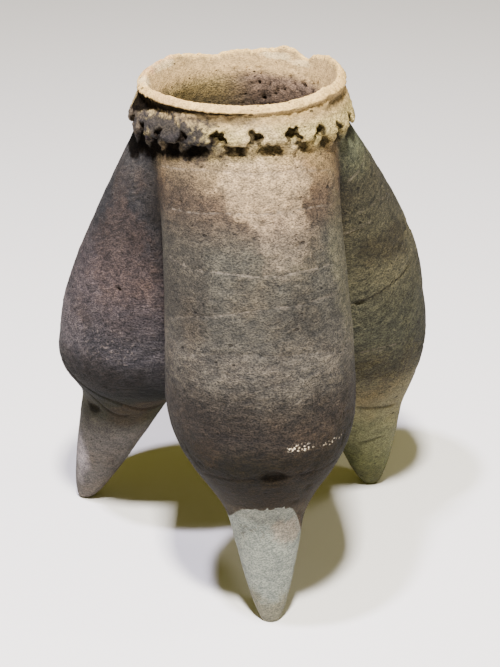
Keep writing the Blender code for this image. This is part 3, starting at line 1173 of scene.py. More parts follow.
@dataclass(frozen=True)
class PaintedShadows:
    """Painted shadow under the cordon and under the lip, by bearing in degrees and height in metres.

    A jag is its height, its waves round the neck and its start.  The recess's waves are radians
    a degree.
    """

    gap_bottoms: tuple[Pair, ...] = (
        (-180.0, 0.286), (-110.0, 0.280), (-90.0, 0.272), (-75.0, 0.277), (-65.0, 0.280), (-55.0, 0.283),
        (-45.0, 0.285), (-35.0, 0.287), (-27.0, 0.2905), (-20.0, 0.2918), (30.0, 0.2908), (62.0, 0.287),
        (85.0, 0.282), (110.0, 0.285), (180.0, 0.286),
    )
    gap_jags: tuple[Triple, ...] = ((0.0010, 23.0, 0.6), (0.0007, 51.0, 0.0))
    gap_teeth: float = 0.0012
    gap_teeth_waves: float = 9.5
    gap_teeth_turns: Pair = (-100.0, -30.0)
    gap_edge: float = 0.0007
    gap_top: Pair = (0.0004, 0.0010)
    gap_depth: Pair = (0.0003, 0.0010)
    gap_strengths: tuple[Pair, ...] = ((-30.0, 1.0), (-5.0, 0.84), (60.0, 0.84), (95.0, 0.60))
    recess_bottoms: tuple[Pair, ...] = (
        (-110.0, 0.3020), (-85.0, 0.3025), (-75.0, 0.3065), (-65.0, 0.3100), (-55.0, 0.3115), (-45.0, 0.3132),
        (-35.0, 0.3142), (-10.0, 0.3153), (5.0, 0.3185), (180.0, 0.3300),
    )
    recess_wave: float = 0.0003
    recess_waves: float = 0.9
    recess_edge: float = 0.0005
    recess_start: Pair = (-99.0, -94.0)

    def gap(self, neck: Neck, points: np.ndarray, smooth: np.ndarray) -> np.ndarray:
        """Painted shadow that the cordon's edge casts on the legs, deeper on the left.

        Args:
            neck: The neck that carries the cordon.
            points: Points of the clay in the pot's frame.
            smooth: Signed distances to the form before its finger presses.

        Returns:
            Shares from nothing to one.
        """
        _, turns = round_axis(points)
        bearings = np.radians(turns)
        bottom = np.interp(turns, *np.array(self.gap_bottoms).T)
        for size, waves, start in self.gap_jags:
            bottom += size * np.sin(waves * bearings + start)
        teeth = np.interp(turns, self.gap_teeth_turns, (self.gap_teeth, 0.0))
        bottom -= teeth * np.abs(np.sin(self.gap_teeth_waves * bearings))
        top = neck.cordon_foot - neck.cordon_sag * np.sin(bearings) ** 2
        below = eased(points[:, 2], bottom - self.gap_edge, bottom + self.gap_edge)
        below = below * (1.0 - eased(points[:, 2], top - self.gap_top[0], top + self.gap_top[1]))
        clear = 1.0 - eased(smooth, *self.gap_depth)
        return below * clear * np.interp(turns, *np.array(self.gap_strengths).T)

    def recess(self, height: np.ndarray, turns: np.ndarray) -> np.ndarray:
        """Painted shadow under the lip, a wedge at the left that thins to a line at the front.

        Args:
            height: Heights of points above the floor.
            turns: Bearings of the same points.

        Returns:
            Shares from nothing to one.
        """
        bottom = np.interp(turns, *np.array(self.recess_bottoms).T)
        bottom += self.recess_wave * np.sin(self.recess_waves * turns)
        low = eased(height, bottom - self.recess_edge, bottom + self.recess_edge)
        return low * eased(turns, *self.recess_start)


@dataclass(frozen=True)
class Borders:
    """Where one share gives way to another: heights, depths and widths in metres.

    A pair is the start and the end of a gradual change.  The ash's border falls by ash_fall times
    the fourth power of the way to the side.
    """

    skin: Pair = (0.0024, 0.0048)
    inner_top: Pair = (0.311, 0.318)
    legs: Pair = (-0.002, 0.002)
    groove_width: float = 0.012
    groove_top: Pair = (0.286, 0.294)
    groove_foot: float = 0.10
    break_edge: float = 0.0006
    break_depth: float = 0.0014
    cordon_foot: Pair = (0.284, 0.298)
    cordon_depth: float = 0.002
    pit_depth: float = 0.0014
    pit_foot: float = 0.28
    corded_foot: Pair = (0.085, 0.12)
    corded_top: Pair = (0.262, 0.286)
    smoother_front: Pair = (0.15, 0.20)
    smoother_share: float = 0.6
    crust_side: Pair = (-0.012, 0.018)
    crust_foot: Pair = (0.262, 0.275)
    crust_top: Pair = (0.306, 0.314)
    ash_top: float = 0.0868
    ash_fall: float = 9.0e4
    ash_shift: float = 0.0030
    ash_edge: float = 0.016
    ash_reach: float = 0.006


@dataclass(frozen=True)
class CordLay:
    """How the cord marks lie: tilts and turns in degrees, and how far each leg's are drawn out."""

    front_tilt: float = 4.0
    left_tilt: float = 40.0
    right_tilt: float = 42.0
    easing: float = 36.0
    left_turns: Pair = (70.0, 112.0)
    right_turns: Pair = (-118.0, -74.0)
    middles: tuple[Triple, ...] = ((0.0, -0.08, 0.15), (-0.08, 0.0, 0.15), (0.08, 0.0, 0.15))
    stretches: Triple = (2.6, 4.5, 4.5)
    seam: float = 0.0015

    def places(self, legs: tuple[Leg, ...], points: np.ndarray) -> np.ndarray:
        """Places in the stretched space that the cord marks are read at.

        Args:
            legs: The front, left and right leg.
            points: Points round the pot's axis, one a row.

        Returns:
            Stretched places, one a row.
        """
        near = np.stack([leg.distance(points) for leg in legs])
        weights = np.exp(-(near - near.min(axis=0)) / self.seam)
        weights /= weights.sum(axis=0)
        turns = [leg.round_pouch(points)[1] for leg in legs]
        tilts = (
            np.full(len(points), self.front_tilt),
            self.left_tilt - self.easing * eased(turns[1], *self.left_turns),
            self.right_tilt - self.easing * (1.0 - eased(turns[2], *self.right_turns)),
        )
        placed = np.zeros_like(points)
        for weight, tilt, middle, stretch in zip(weights, tilts, self.middles, self.stretches):
            lean = np.radians(tilt)
            across = np.stack([-np.sin(lean), np.zeros_like(lean), np.cos(lean)], axis=1)
            away = ((points - np.array(middle)) * across).sum(axis=1)
            placed += weight[:, None] * (points + (stretch - 1.0) * away[:, None] * across)
        return placed


@dataclass(frozen=True)
class SteamerTripod:
    """The clay piece itself: its net, its fine relief, its masks and its finish."""

    form: SteamerForm
    relief: ClayRelief
    lines: tuple[tuple[DrawnLine, ...], ...]
    presses: tuple[Press, ...]
    axis: Pair
    soot: PaintedShadows = PaintedShadows()
    borders: Borders = Borders()
    cord_lay: CordLay = CordLay()
    net_step: float = 0.0019
    coarse_steps: int = 4
    margin_steps: float = 4.0
    near_steps: float = 1.7
    fine_above: float = 0.286
    fine_outside: float = 0.003
    fine_beside: float = 3.0
    cut_depth: float = 0.0042
    slope_step: float = 0.0002
    least_slope: float = 0.25
    longest_push: float = 0.0016
    settle_rounds: int = 3
    triangles: int = 194000

    def grid_net(self) -> tuple[np.ndarray, np.ndarray]:
        """Net over the form, in the pot's own frame.

        Returns:
            Its points and its faces.
        """
        step, coarse = self.net_step, self.coarse_steps
        offset = np.array([*self.axis, 0.0])
        low = np.array(CAD_BOX[0]) - offset - self.margin_steps * step
        high = np.array(CAD_BOX[1]) - offset + self.margin_steps * step
        blocks = np.ceil((high - low) / (step * coarse)).astype(int)
        middles = np.stack(np.meshgrid(*[np.arange(count) for count in blocks], indexing="ij"), axis=-1)
        places = low + step * (coarse * middles.reshape(-1, 3) + 0.5 * (coarse - 1))
        values = self.form.distance(places).reshape(tuple(blocks))
        for axis in range(3):
            values = np.repeat(values, coarse, axis=axis)
        near = np.abs(values) < self.near_steps * step * coarse
        values[near] = self.form.distance(low + step * np.argwhere(near))
        return surface_net(parted(values), low, step)

    def drawn(self, points: np.ndarray, widened: float = 1.0) -> Iterator[tuple[DrawnLine, np.ndarray]]:
        """Goes through the drawn lines of all legs.

        Args:
            points: Points round the pot's axis, one a row.
            widened: Factor on each line's width.

        Yields:
            Each line, and how far the points lie in it.
        """
        for leg, lines in zip(self.form.legs, self.lines):
            for line in lines:
                yield line, line.share(leg, points, widened)

    def cut(self, points: np.ndarray) -> np.ndarray:
        """Depth of clay taken off by the lines and the presses.

        Args:
            points: Points round the pot's axis, one a row.

        Returns:
            Depths in metres.
        """
        depth = np.zeros(len(points))
        for line, share in self.drawn(points):
            depth += line.depth * share
        for press in self.presses:
            depth += press.cut(points)
        return depth * (self.form.outer_distance(points) > -self.cut_depth)

    def settled(self, points: np.ndarray) -> np.ndarray:
        """Moves points onto the form along the distance's slope.

        Args:
            points: Points near the surface.

        Returns:
            Points on it.
        """
        step, ways = self.slope_step, np.eye(3)
        cut = self.cut(points)
        for _ in range(self.settle_rounds):
            here = self.form.distance(points)
            slope = [(self.form.distance(points + step * way) - here) / step for way in ways]
            slope = np.stack(slope, axis=1)
            strength = np.maximum((slope * slope).sum(axis=1), self.least_slope)
            push = np.clip((here + cut) / strength, -self.longest_push, self.longest_push)
            points = points - slope * push[:, None]
        return points

    def refined(self, points: np.ndarray, faces: np.ndarray) -> bmesh.types.BMesh:
        """Mesh with finer faces on the neck's outside and along the marks.

        Args:
            points: The net's points.
            faces: The net's faces.

        Returns:
            The finer mesh, its new points not yet on the form.
        """
        mesh = bpy.data.meshes.new("net")
        mesh.from_pydata(points.tolist(), [], faces.tolist())
        shape = bmesh.new()
        shape.from_mesh(mesh)
        bpy.data.meshes.remove(mesh)
        radius, _ = round_axis(points)
        outside = radius > self.form.neck.waist.throat_radius + self.fine_outside
        fine = (points[:, 2] > self.fine_above) & outside
        for _, share in self.drawn(points, self.fine_beside):
            fine |= share > 0.0
        for press in self.presses:
            fine |= press.cut(points) != 0.0
        edges = [edge for edge in shape.edges if fine[edge.verts[0].index] and fine[edge.verts[1].index]]
        bmesh.ops.subdivide_edges(shape, edges=edges, cuts=1, use_grid_fill=True)
        return shape

    def masks(self, points: np.ndarray) -> dict[Mask, np.ndarray]:
        """Works out the shares that the relief and the finish read.

        Args:
            points: Points of the clay in the pot's frame.

        Returns:
            Shares by mask.
        """
        form, neck, edge = self.form, self.form.neck, self.borders
        height = points[:, 2]
        radius, bearings = round_axis(points)
        near = np.stack([leg.distance(points) for leg in form.legs])
        order = np.sort(near, axis=0)
        front, left, right = near
        inside = eased(-form.outer_distance(points) - self.cut(points), *edge.skin)
        outside = 1.0 - inside
        lip = neck.rim - neck.lip_drop
        level = neck.unbroken(height, bearings)
        band = eased(level, lip - edge.break_edge, lip + edge.break_edge)
        broken = radius > neck.waist.throat_radius + neck.stub_flare - edge.break_depth
        smooth = smooth_min(form.legs_distance(points), neck.distance(points), form.shoulder)
        pressed = np.clip((form.pinches.shape(smooth, points) - smooth) / edge.pit_depth, 0.0, 1.0)
        _, side, _ = form.legs[0].local(points)
        arch = edge.ash_top - edge.ash_fall * (side + edge.ash_shift) ** 4
        ash = np.clip((arch - height) / edge.ash_edge + 0.5, 0.0, 1.0)
        pale, crease = np.zeros(len(points)), np.zeros(len(points))
        for line, share in self.drawn(points):
            share = share * (inside < 0.5)
            pale = np.maximum(pale, line.pale * share)
            crease = np.maximum(crease, (line.pale == 0.0) * share)
        # Painted shade along the grooves where two legs meet.
        groove = np.clip(1.0 - (order[1] - order[0]) / edge.groove_width, 0.0, 1.0)
        groove = groove * (1.0 - eased(height, *edge.groove_top)) * (height > edge.groove_foot)
        cordon = eased(height, *edge.cordon_foot) * (radius > neck.waist.radius - edge.cordon_depth)
        in_front = front < np.minimum(left, right)
        smoothed = edge.smoother_share * eased(height, *edge.smoother_front) * in_front
        corded = outside * (1.0 - eased(height, *edge.corded_top)) * eased(height, *edge.corded_foot)
        crusted = eased(points[:, 0], *edge.crust_side) * (points[:, 1] > 0.0) * inside
        return {
            Mask.INSIDE: inside * (1.0 - eased(height, *edge.inner_top)),
            Mask.LEFT: eased(np.minimum(front, right) - left, *edge.legs) * outside,
            Mask.RIGHT: eased(np.minimum(front, left) - right, *edge.legs) * outside,
            Mask.GROOVE: groove * outside,
            Mask.BREAK: band * broken,
            Mask.CORDON: cordon * (1.0 - band),
            Mask.PIT: pressed * (height > edge.pit_foot) * outside,
            Mask.GAP: self.soot.gap(neck, points, smooth) * outside,
            Mask.RECESS: self.soot.recess(height, bearings) * outside * (1.0 - band),
            Mask.SCRATCH: pale,
            Mask.CREASE: crease,
            Mask.TIP: ash * (form.legs[0].foot_distance(points) < edge.ash_reach),
            Mask.CORDED: corded * (1.0 - smoothed),
            Mask.CRUST: crusted * eased(height, *edge.crust_foot) * (1.0 - eased(height, *edge.crust_top)),
        }

    def store(self, piece: bpy.types.Object) -> None:
        """Writes the masks and the cord marks' places onto a piece's points.

        Args:
            piece: The clay in the pot's frame.
        """
        points = np.empty(len(piece.data.vertices) * 3)
        piece.data.vertices.foreach_get("co", points)
        points = points.reshape(-1, 3)
        shares: dict[str, np.ndarray] = {mask.value: share for mask, share in self.masks(points).items()}
        shares[LAY] = self.cord_lay.places(self.form.legs, points)
        for name, share in shares.items():
            kind, field = ("FLOAT_VECTOR", "vector") if share.ndim == 2 else ("FLOAT", "value")
            layer = piece.data.attributes.get(name) or piece.data.attributes.new(name, kind, "POINT")
            layer.data.foreach_set(field, np.ascontiguousarray(share.ravel(), dtype=np.float32))

    def build(self, finish: bpy.types.Material) -> bpy.types.Object:
        """Makes the finished piece in its place.

        Args:
            finish: The clay's material.

        Returns:
            The piece, ready to ride on its body.
        """
        shape = self.refined(*self.grid_net())
        points = self.settled(np.array([vertex.co for vertex in shape.verts]))
        for vertex, place in zip(shape.verts, points):
            vertex.co = place
        mesh = bpy.data.meshes.new("steamer_tripod_clay")
        shape.to_mesh(mesh)
        shape.free()
        piece = shown("steamer_tripod_clay", mesh)
        mesh.materials.append(finish)
        mesh.shade_smooth()
        self.store(piece)
        LOG.info("clay net: %d points, %d faces", len(mesh.vertices), len(mesh.polygons))
        self.relief.apply(piece, finish)
        thinner = piece.modifiers.new("Thin", "DECIMATE")
        thinner.ratio = min(1.0, self.triangles / triangle_count(piece))
        keep_evaluated(piece)
        piece.data.shade_smooth()
        self.store(piece)
        piece.data.transform(Matrix.Translation((*self.axis, 0.0)))
        LOG.info("clay kept: %d triangles", triangle_count(piece))
        return piece


@dataclass(frozen=True)
class Pattern:
    """A noise: features a metre, octaves, strength of the finer ones, stirring, and its own number."""

    scale: float
    detail: float
    roughness: float
    stirring: float
    number: float

    def read(self, bench: Bench, place: Socket, seed: float) -> Socket:
        """Adds the noise to a tree, read at a place."""
        return bench.noise(place, self.scale, self.detail, self.roughness, self.stirring, seed + self.number)


@dataclass(frozen=True)
class Tint:
    """Factors on a colour, from where a pattern passes one value to where it reaches another."""

    low: float
    high: float
    share: float
    factors: Colour

    def over(self, bench: Bench, body: Socket, pattern: Socket) -> Socket:
        """Tints the body's colour where the pattern says."""
        share = bench.spread(pattern, self.low, self.high, 0.0, self.share)
        return bench.mix(share, body, self.factors, "MULTIPLY")


@dataclass(frozen=True)
class Skin:
    """What the finish reads at each point of the clay, as sockets of one tree.

    The wiped place is drawn together along the height, so that what is read there lies level.
    """

    bench: Bench
    place: Socket
    wiped: Socket
    height: Socket
    lay: Socket
    masks: dict[Mask, Socket]


@dataclass(frozen=True)
class FiredClay:
    """Grey-brown fired clay: buff neck, darker pouches with painted shade low down, an ash-pale front foot
    partly painted as light, and a hollow painted darker with depth as shade.

    The legs' colours go by height in metres.  A coat is its greatest share and its colour code.
    Calm holds the grain and the mottle back at the break, the rim and the feet.  Grit is cells
    a metre, the share of cells without a pit, and the pits' strength.
    """

    stains: tuple[Stain, ...]
    # The dark stops low on the pouches, where they turn down towards the floor, are partly the clay's own
    # tone and partly painted shade.
    front: Ramp = (
        (0.070, "2a251c"), (0.098, "1a1710"), (0.118, "16140c"), (0.140, "2a2725"), (0.176, "494845"),
        (0.204, "393936"), (0.235, "43433e"), (0.262, "483e34"), (0.290, "7e6f55"),
    )
    left: Ramp = (
        (0.055, "504e4d"), (0.080, "2c2c22"), (0.105, "020402"), (0.140, "313138"), (0.190, "433e43"),
        (0.235, "27282d"), (0.280, "353639"),
    )
    right: Ramp = (
        (0.020, "4e5236"), (0.050, "5f6149"), (0.085, "5c5945"), (0.120, "313228"), (0.150, "3b3e35"),
        (0.200, "464639"), (0.250, "38382f"), (0.285, "565d4d"),
    )
    ramp_height: float = 0.32
    drift: Pattern = Pattern(16.0, 3.0, 0.55, 0.0, 0.0)
    drift_height: float = 0.034
    patches: Pattern = Pattern(26.0, 5.0, 0.64, 0.3, 1.0)
    warmth: Pattern = Pattern(15.0, 4.0, 0.6, 0.2, 2.0)
    darker: Tint = Tint(0.48, 0.66, 0.42, (0.30, 0.30, 0.32, 1.0))
    paler: Tint = Tint(0.48, 0.34, 0.60, (1.40, 1.36, 1.30, 1.0))
    warmer: Tint = Tint(0.50, 0.64, 0.60, (1.25, 1.08, 0.90, 1.0))
    tip: Coat = (0.88, "7d8581")
    tip_ragged: float = 0.30
    tip_edge: Pair = (0.44, 0.56)
    cordon: Coat = (0.92, "a99b6a")
    fracture: Coat = (0.92, "c6a86b")
    rim_share: float = 0.88
    rim_span: Pair = (0.304, 0.312)
    funnel: str = "988159"
    funnel_span: Pair = (0.301, 0.316)
    hollow: str = "6e6242"
    hollow_ragged: float = -0.022
    crust: Coat = (0.85, "5a4c45")
    soot: str = "1a1612"
    # Painted shade in the hollow, darker deeper down.
    depth_shade_share: float = 0.75
    depth_shade_span: Pair = (0.302, 0.284)
    groove_share: float = 0.60
    pit_share: float = 0.88
    crease_share: float = 0.55
    shade: Coat = (0.97, "0b0907")
    stain_edge: Pair = (1.15, 0.55)
    stain_ragged: float = 3.0
    speck_edge: Pair = (0.56, 0.62)
    wipe: Triple = (1.0, 1.0, 1.7)
    fine: Pattern = Pattern(760.0, 3.0, 0.7, 0.0, 3.0)
    middle: Pattern = Pattern(160.0, 4.0, 0.68, 0.0, 4.0)
    cords: Pattern = Pattern(118.0, 3.0, 0.60, 0.3, 6.0)
    dark: str = "14110e"
    light: str = "f2eadc"
    contrast: Pair = (0.36, 0.64)
    cord_contrast: Pair = (0.36, 0.62)
    mottle: float = 0.34
    grain: float = 0.62
    lower_grain: float = 1.2
    grain_span: Pair = (0.20, 0.14)
    cord_tone: float = 0.32
    calm_break: float = 0.5
    calm_rim: float = 0.7
    calm_feet: float = 0.6
    feet_span: Pair = (0.100, 0.080)
    calming: float = 0.6
    grit: tuple[Triple, ...] = ((105.0, 0.72, 1.0), (210.0, 0.74, 1.0), (340.0, 0.66, 0.75))
    grit_reach: Pair = (0.07, 0.11)
    grit_edge: Pair = (0.7, 1.15)
    grit_share: float = 0.72
    scratch_edge: Pair = (0.40, 0.60)
    scratch_share: float = 0.52
    scratch: str = "867b6d"
    cord_relief: float = 1.5
    fine_relief: float = 0.80
    middle_relief: float = 0.8
    grit_relief: float = -0.9
    relief_height: float = 0.0013
    roughness: float = 0.86
    roughness_swing: float = 0.07
    roughness_span: Pair = (0.2, 0.8)
    shine: float = 0.16
    shade_dulling: float = -0.15
    seed: float = 4.0

    def ramp(self, skin: Skin, share: Socket, stops: Ramp) -> Socket:
        """Colours by height.

        Args:
            skin: What the finish reads.
            share: Height as a share of the ramp's height.
            stops: Heights and colour codes.

        Returns:
            Socket of the colour.
        """
        node = skin.bench.add("ShaderNodeValToRGB", {"Fac": share})
        ramp = node.color_ramp
        ramp.interpolation = "EASE"
        while len(ramp.elements) < len(stops):
            ramp.elements.new(1.0)
        for element, (height, code) in zip(ramp.elements, stops):
            element.position = height / self.ramp_height
            element.color = colour(code)
        return node.outputs[0]

    def legs(self, skin: Skin, patches: Socket) -> Socket:
        """Colours of the three legs by height, with dark, pale and warm patches.

        Args:
            skin: What the finish reads.
            patches: Noise of the dark and the pale patches.

        Returns:
            Socket of the colour.
        """
        bench = skin.bench
        drift = bench.centred(self.drift.read(bench, skin.place, self.seed))
        share = bench.math("MULTIPLY_ADD", drift, self.drift_height, skin.height)
        share = bench.math("DIVIDE", share, self.ramp_height)
        body = self.ramp(skin, share, self.front)
        body = bench.mix(skin.masks[Mask.LEFT], body, self.ramp(skin, share, self.left))
        body = bench.mix(skin.masks[Mask.RIGHT], body, self.ramp(skin, share, self.right))
        body = self.darker.over(bench, body, patches)
        body = self.paler.over(bench, body, patches)
        return self.warmer.over(bench, body, self.warmth.read(bench, skin.place, self.seed))

    def throat(self, skin: Skin, patches: Socket) -> Socket:
        """Colours of the inside: buff funnel, burnt crust and painted shade in the depths.

        Args:
            skin: What the finish reads.
            patches: Noise that makes the borders ragged.

        Returns:
            Socket of the colour.
        """
        bench = skin.bench
        depth = bench.math("MULTIPLY_ADD", bench.centred(patches), self.hollow_ragged, skin.height)
        inner = bench.mix(bench.spread(depth, *self.funnel_span), colour(self.hollow), colour(self.funnel))
        inner = bench.coat(inner, skin.masks[Mask.CRUST], *self.crust)
        # Painted shade: darker deeper down in the hollow.
        return bench.coat(inner, bench.spread(depth, *self.depth_shade_span), self.depth_shade_share, self.soot)

    def stained(self, skin: Skin, body: Socket, axis: Pair) -> Socket:
        """Lays the stains over the body's colour.

        Args:
            skin: What the finish reads.
            body: Colour so far.
            axis: The pot's axis.

        Returns:
            Socket of the stained colour.
        """
        bench = skin.bench
        edges: dict[float, Socket] = {}
        specks: dict[float, Socket] = {}
        for stain in self.stains:
            if stain.grain not in edges:
                wild = Pattern(stain.grain, 4.0, 0.65, 0.0, 7.0).read(bench, skin.place, self.seed)
                edges[stain.grain] = bench.centred(wild)
            middle = (stain.place[0] + axis[0], stain.place[1] + axis[1], stain.place[2])
            away = bench.vector("DIVIDE", bench.vector("SUBTRACT", skin.place, middle), stain.size)
            away = bench.add("ShaderNodeVectorMath", {0: away}, operation="LENGTH").outputs["Value"]
            away = bench.math("MULTIPLY_ADD", edges[stain.grain], self.stain_ragged * stain.ragged, away)
            share = bench.spread(away, *self.stain_edge, 0.0, stain.share)
            if stain.speckle:
                if stain.speckle not in specks:
                    grains = Pattern(stain.speckle, 2.0, 0.6, 0.0, 8.0).read(bench, skin.place, self.seed)
                    specks[stain.speckle] = bench.spread(grains, *self.speck_edge)
                share = bench.math("MULTIPLY", share, specks[stain.speckle])
            body = bench.mix(share, body, colour(stain.code))
        return body

    def pits(self, skin: Skin) -> Socket:
        """Scattered small pits of three sizes where grit fell out.

        Args:
            skin: What the finish reads.

        Returns:
            Socket of the pits' shares.
        """
        bench, holes = skin.bench, 0.0
        for scale, spared, strength in self.grit:
            cells = bench.cells(skin.wiped, scale)
            pick = bench.add("ShaderNodeSeparateColor", {0: cells["Color"]}).outputs
            least, more = self.grit_reach
            reach = bench.math("MULTIPLY_ADD", pick[1], more, least)
            depth = bench.math("DIVIDE", cells["Distance"], reach)
            depth = bench.spread(depth, *self.grit_edge, strength, 0.0)
            pit = bench.math("MULTIPLY", depth, bench.math("GREATER_THAN", pick[0], spared))
            holes = bench.math("MAXIMUM", pit, holes)
        return holes

    def build(self, axis: Pair) -> bpy.types.Material:
        """Builds the material.

        Args:
            axis: The pot's axis, round which the stains are placed.

        Returns:
            The clay's material.
        """
        material = bpy.data.materials.new("fired_clay_finish")
        material.use_nodes = True
        material.node_tree.nodes.clear()
        bench = Bench(material.node_tree)
        place = bench.add("ShaderNodeTexCoord").outputs["Object"]
        wiped = bench.vector("MULTIPLY", place, self.wipe)
        height = bench.add("ShaderNodeSeparateXYZ", {0: place}).outputs[2]
        lay = bench.add("ShaderNodeAttribute", attribute_name=LAY).outputs["Vector"]
        carried = {mask: bench.add("ShaderNodeAttribute", attribute_name=mask.value) for mask in Mask}
        masks = {mask: node.outputs["Fac"] for mask, node in carried.items()}
        skin = Skin(bench, place, wiped, height, lay, masks)

        patches = self.patches.read(bench, place, self.seed)
        body = self.legs(skin, patches)
        # Pale ash on the front foot's tip: its arched top follows where the pouch's shadow ends, so the pale
        # coat is partly the clay's own ash and partly painted light.
        ash = bench.math("MULTIPLY_ADD", bench.centred(patches), self.tip_ragged, masks[Mask.TIP])
        ash = bench.spread(ash, *self.tip_edge)
        body = bench.coat(body, ash, *self.tip)
        body = bench.coat(body, masks[Mask.CORDON], *self.cordon)
        body = bench.mix(masks[Mask.INSIDE], body, self.throat(skin, patches))
        body = bench.coat(body, bench.spread(height, *self.rim_span), self.rim_share, self.funnel)
        body = bench.coat(body, masks[Mask.BREAK], *self.fracture)
        body = self.stained(skin, body, axis)
        # Painted shadow under the cordon and under the lip, laid in near-black.
        shade = bench.math("MAXIMUM", masks[Mask.GAP], masks[Mask.RECESS])
        # Painted shade in the grooves between the legs.
        body = bench.coat(body, masks[Mask.GROOVE], self.groove_share, self.soot)
        # Painted shade in the finger pits.
        body = bench.coat(body, masks[Mask.PIT], self.pit_share, self.soot)
        body = bench.coat(body, shade, *self.shade)
        # Painted shade in the creases of the drawn lines.
        body = bench.coat(body, masks[Mask.CREASE], self.crease_share, self.soot)

        fine = self.fine.read(bench, wiped, self.seed)
        middle = self.middle.read(bench, wiped, self.seed)
        cords = self.cords.read(bench, lay, self.seed)
        calm = bench.math("MULTIPLY", masks[Mask.BREAK], self.calm_break)
        calm = bench.math("MAXIMUM", calm, bench.spread(height, *self.rim_span, 0.0, self.calm_rim))
        calm = bench.math("MAXIMUM", calm, bench.spread(height, *self.feet_span, 0.0, self.calm_feet))
        rough = bench.math("SUBTRACT", 1.0, bench.math("MULTIPLY", calm, self.calming))
        grain = bench.spread(height, *self.grain_span, self.grain, self.lower_grain * self.grain)
        for pattern, contrast, mask, share in (
            (middle, self.contrast, rough, self.mottle),
            (fine, self.contrast, rough, grain),
            (cords, self.cord_contrast, masks[Mask.CORDED], self.cord_tone),
        ):
            tone = bench.mix(bench.spread(pattern, *contrast), colour(self.dark), colour(self.light))
            body = bench.mix(bench.math("MULTIPLY", mask, share), body, tone, "OVERLAY")
        holes = bench.math("MULTIPLY", self.pits(skin), bench.math("SUBTRACT", 1.0, ash))
        body = bench.coat(body, holes, self.grit_share, self.dark)
        worn = bench.spread(middle, *self.scratch_edge, 0.0, self.scratch_share)
        body = bench.coat(body, masks[Mask.SCRATCH], worn, self.scratch)

        corded = bench.math("MULTIPLY", masks[Mask.CORDED], self.cord_relief)
        relief = bench.math("MULTIPLY", cords, corded)
        relief = bench.math("MULTIPLY_ADD", fine, bench.math("MULTIPLY", rough, self.fine_relief), relief)
        relief = bench.math("MULTIPLY_ADD", middle, self.middle_relief, relief)
        relief = bench.math("MULTIPLY_ADD", holes, self.grit_relief, relief)
        bump = {"Height": relief, "Strength": 1.0, "Distance": self.relief_height}
        least, most = self.roughness - self.roughness_swing, self.roughness + self.roughness_swing
        # Less sheen where shade is painted, so that the painted shadows and pits stay dark.
        painted_dark = bench.math("MAXIMUM", shade, masks[Mask.PIT])
        shader = bench.add("ShaderNodeBsdfPrincipled", {
            "Base Color": body,
            "Roughness": bench.spread(middle, *self.roughness_span, least, most),
            "Normal": bench.add("ShaderNodeBump", bump).outputs[0],
            "Specular IOR Level": bench.math("MULTIPLY_ADD", painted_dark, self.shade_dulling, self.shine),
        })
        bench.add("ShaderNodeOutputMaterial", {"Surface": shader.outputs[0]})
        return material


@dataclass(frozen=True)
class Lamp:
    """One soft square lamp: where it hangs, its side, its power in watts and its light's colour."""

    name: str
    place: Triple
    side: float
    power: float
    tint: str

    def hang(self, aim: Triple) -> None:
        """Hangs the lamp.

        Args:
            aim: Place that it faces.
        """
        data = bpy.data.lights.new(self.name, "AREA")
        data.size = self.side
        data.energy = self.power
        data.color = colour(self.tint)[:3]
        lamp = shown(self.name, data)
        lamp.location = self.place
        lamp.rotation_euler = (Vector(aim) - Vector(self.place)).to_track_quat("-Z", "Y").to_euler()


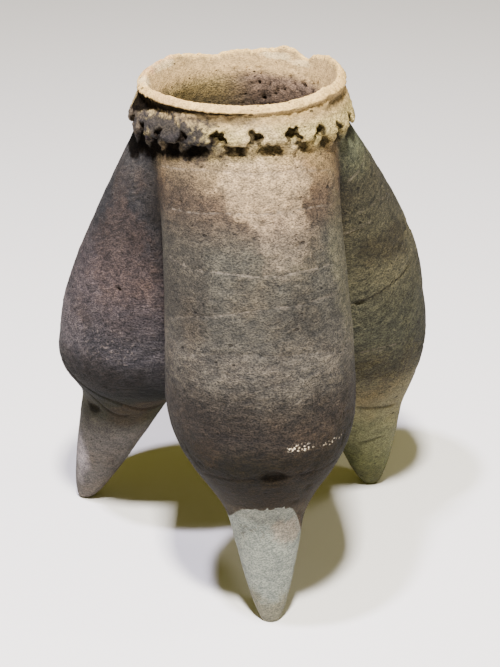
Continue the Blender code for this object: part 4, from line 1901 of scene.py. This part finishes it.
@dataclass(frozen=True)
class Studio:
    """Pale floor, soft lamps above, and the camera at the photograph's angle."""

    eye: Triple = (-0.17104, -1.18656, 0.68499)
    tilt: float = 65.75
    pan: float = -8.45
    lens: float = 107.95
    sensor: float = 36.0
    sight: float = 50.0
    floor_size: float = 24.0
    floor_tint: str = "eae8e4"
    floor_roughness: float = 0.95
    lamps: tuple[Lamp, ...] = (
        Lamp("front_lamp", (-0.11, -0.74, 1.72), 0.17, 104.0, "fffaf4"),
        Lamp("left_lamp", (-0.40, -0.25, 1.72), 0.11, 53.0, "e9e5ff"),
        Lamp("right_lamp", (0.96, -0.24, 1.72), 0.20, 6.0, "fff6e4"),
    )
    aim: Triple = (0.0, 0.0, 0.15)
    fill_tint: str = "c6ba5c"
    fill_strength: float = 0.36

    def camera(self, axis: Pair) -> None:
        """Sets up the camera.

        Args:
            axis: The pot's axis.
        """
        data = bpy.data.cameras.new("view")
        data.lens = self.lens
        data.sensor_width = self.sensor
        data.sensor_fit = "AUTO"
        data.clip_end = self.sight
        camera = shown("view", data)
        camera.location = Vector(self.eye) + Vector((*axis, 0.0))
        camera.rotation_euler = (math.radians(self.tilt), 0.0, math.radians(self.pan))
        bpy.context.scene.camera = camera

    def floor(self) -> None:
        """Lays the plain pale floor."""
        mesh = bpy.data.meshes.new("studio_floor")
        half = self.floor_size / 2.0
        corners = [(-half, -half, 0.0), (half, -half, 0.0), (half, half, 0.0), (-half, half, 0.0)]
        mesh.from_pydata(corners, [], [(0, 1, 2, 3)])
        material = bpy.data.materials.new("studio_floor")
        material.use_nodes = True
        shader = material.node_tree.nodes["Principled BSDF"]
        shader.inputs["Base Color"].default_value = colour(self.floor_tint)
        shader.inputs["Roughness"].default_value = self.floor_roughness
        mesh.materials.append(material)
        shown("studio_floor", mesh)

    def fill(self) -> None:
        """Sets up the weak light from all round."""
        world = bpy.data.worlds.new("studio")
        world.use_nodes = True
        backdrop = world.node_tree.nodes["Background"]
        backdrop.inputs["Color"].default_value = colour(self.fill_tint)
        backdrop.inputs["Strength"].default_value = self.fill_strength
        bpy.context.scene.world = world

    def build(self, axis: Pair) -> None:
        """Sets up camera, floor, lamps and fill.

        Args:
            axis: The pot's axis.
        """
        self.camera(axis)
        self.floor()
        for lamp in self.lamps:
            lamp.hang(self.aim)
        self.fill()
        LOG.info("studio set up")


def pot_axis() -> Pair:
    """Place of the pot's axis, found from the front foot's mount.

    Returns:
        X and Y of the axis.
    """
    places = {mount["name"]: mount["pos_m"] for mount in frame["record"]["mounts"]}
    tip = places["front_foot"]
    return tip[0] - FRONT_LEG.foot_sway, tip[1] + FRONT_LEG.foot_reach


def main() -> None:
    """Builds the clay piece and the studio, and reports them."""
    logging.basicConfig(level=logging.INFO, format="%(name)s: %(message)s")
    axis = pot_axis()
    Studio().build(axis)
    neck = Neck(RIM_BREAKS)
    form = SteamerForm((FRONT_LEG, LEFT_LEG, RIGHT_LEG), neck, Pinches(neck))
    lines = (FRONT_LINES, LEFT_LINES, RIGHT_LINES)
    finish = FiredClay(STAINS).build(axis)
    clay = SteamerTripod(form, ClayRelief(), lines, PRESSES, axis).build(finish)
    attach(clay, "root")
    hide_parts("steamer_tripod")
    LOG.info("sizes written")


if __name__ == "__main__":
    main()
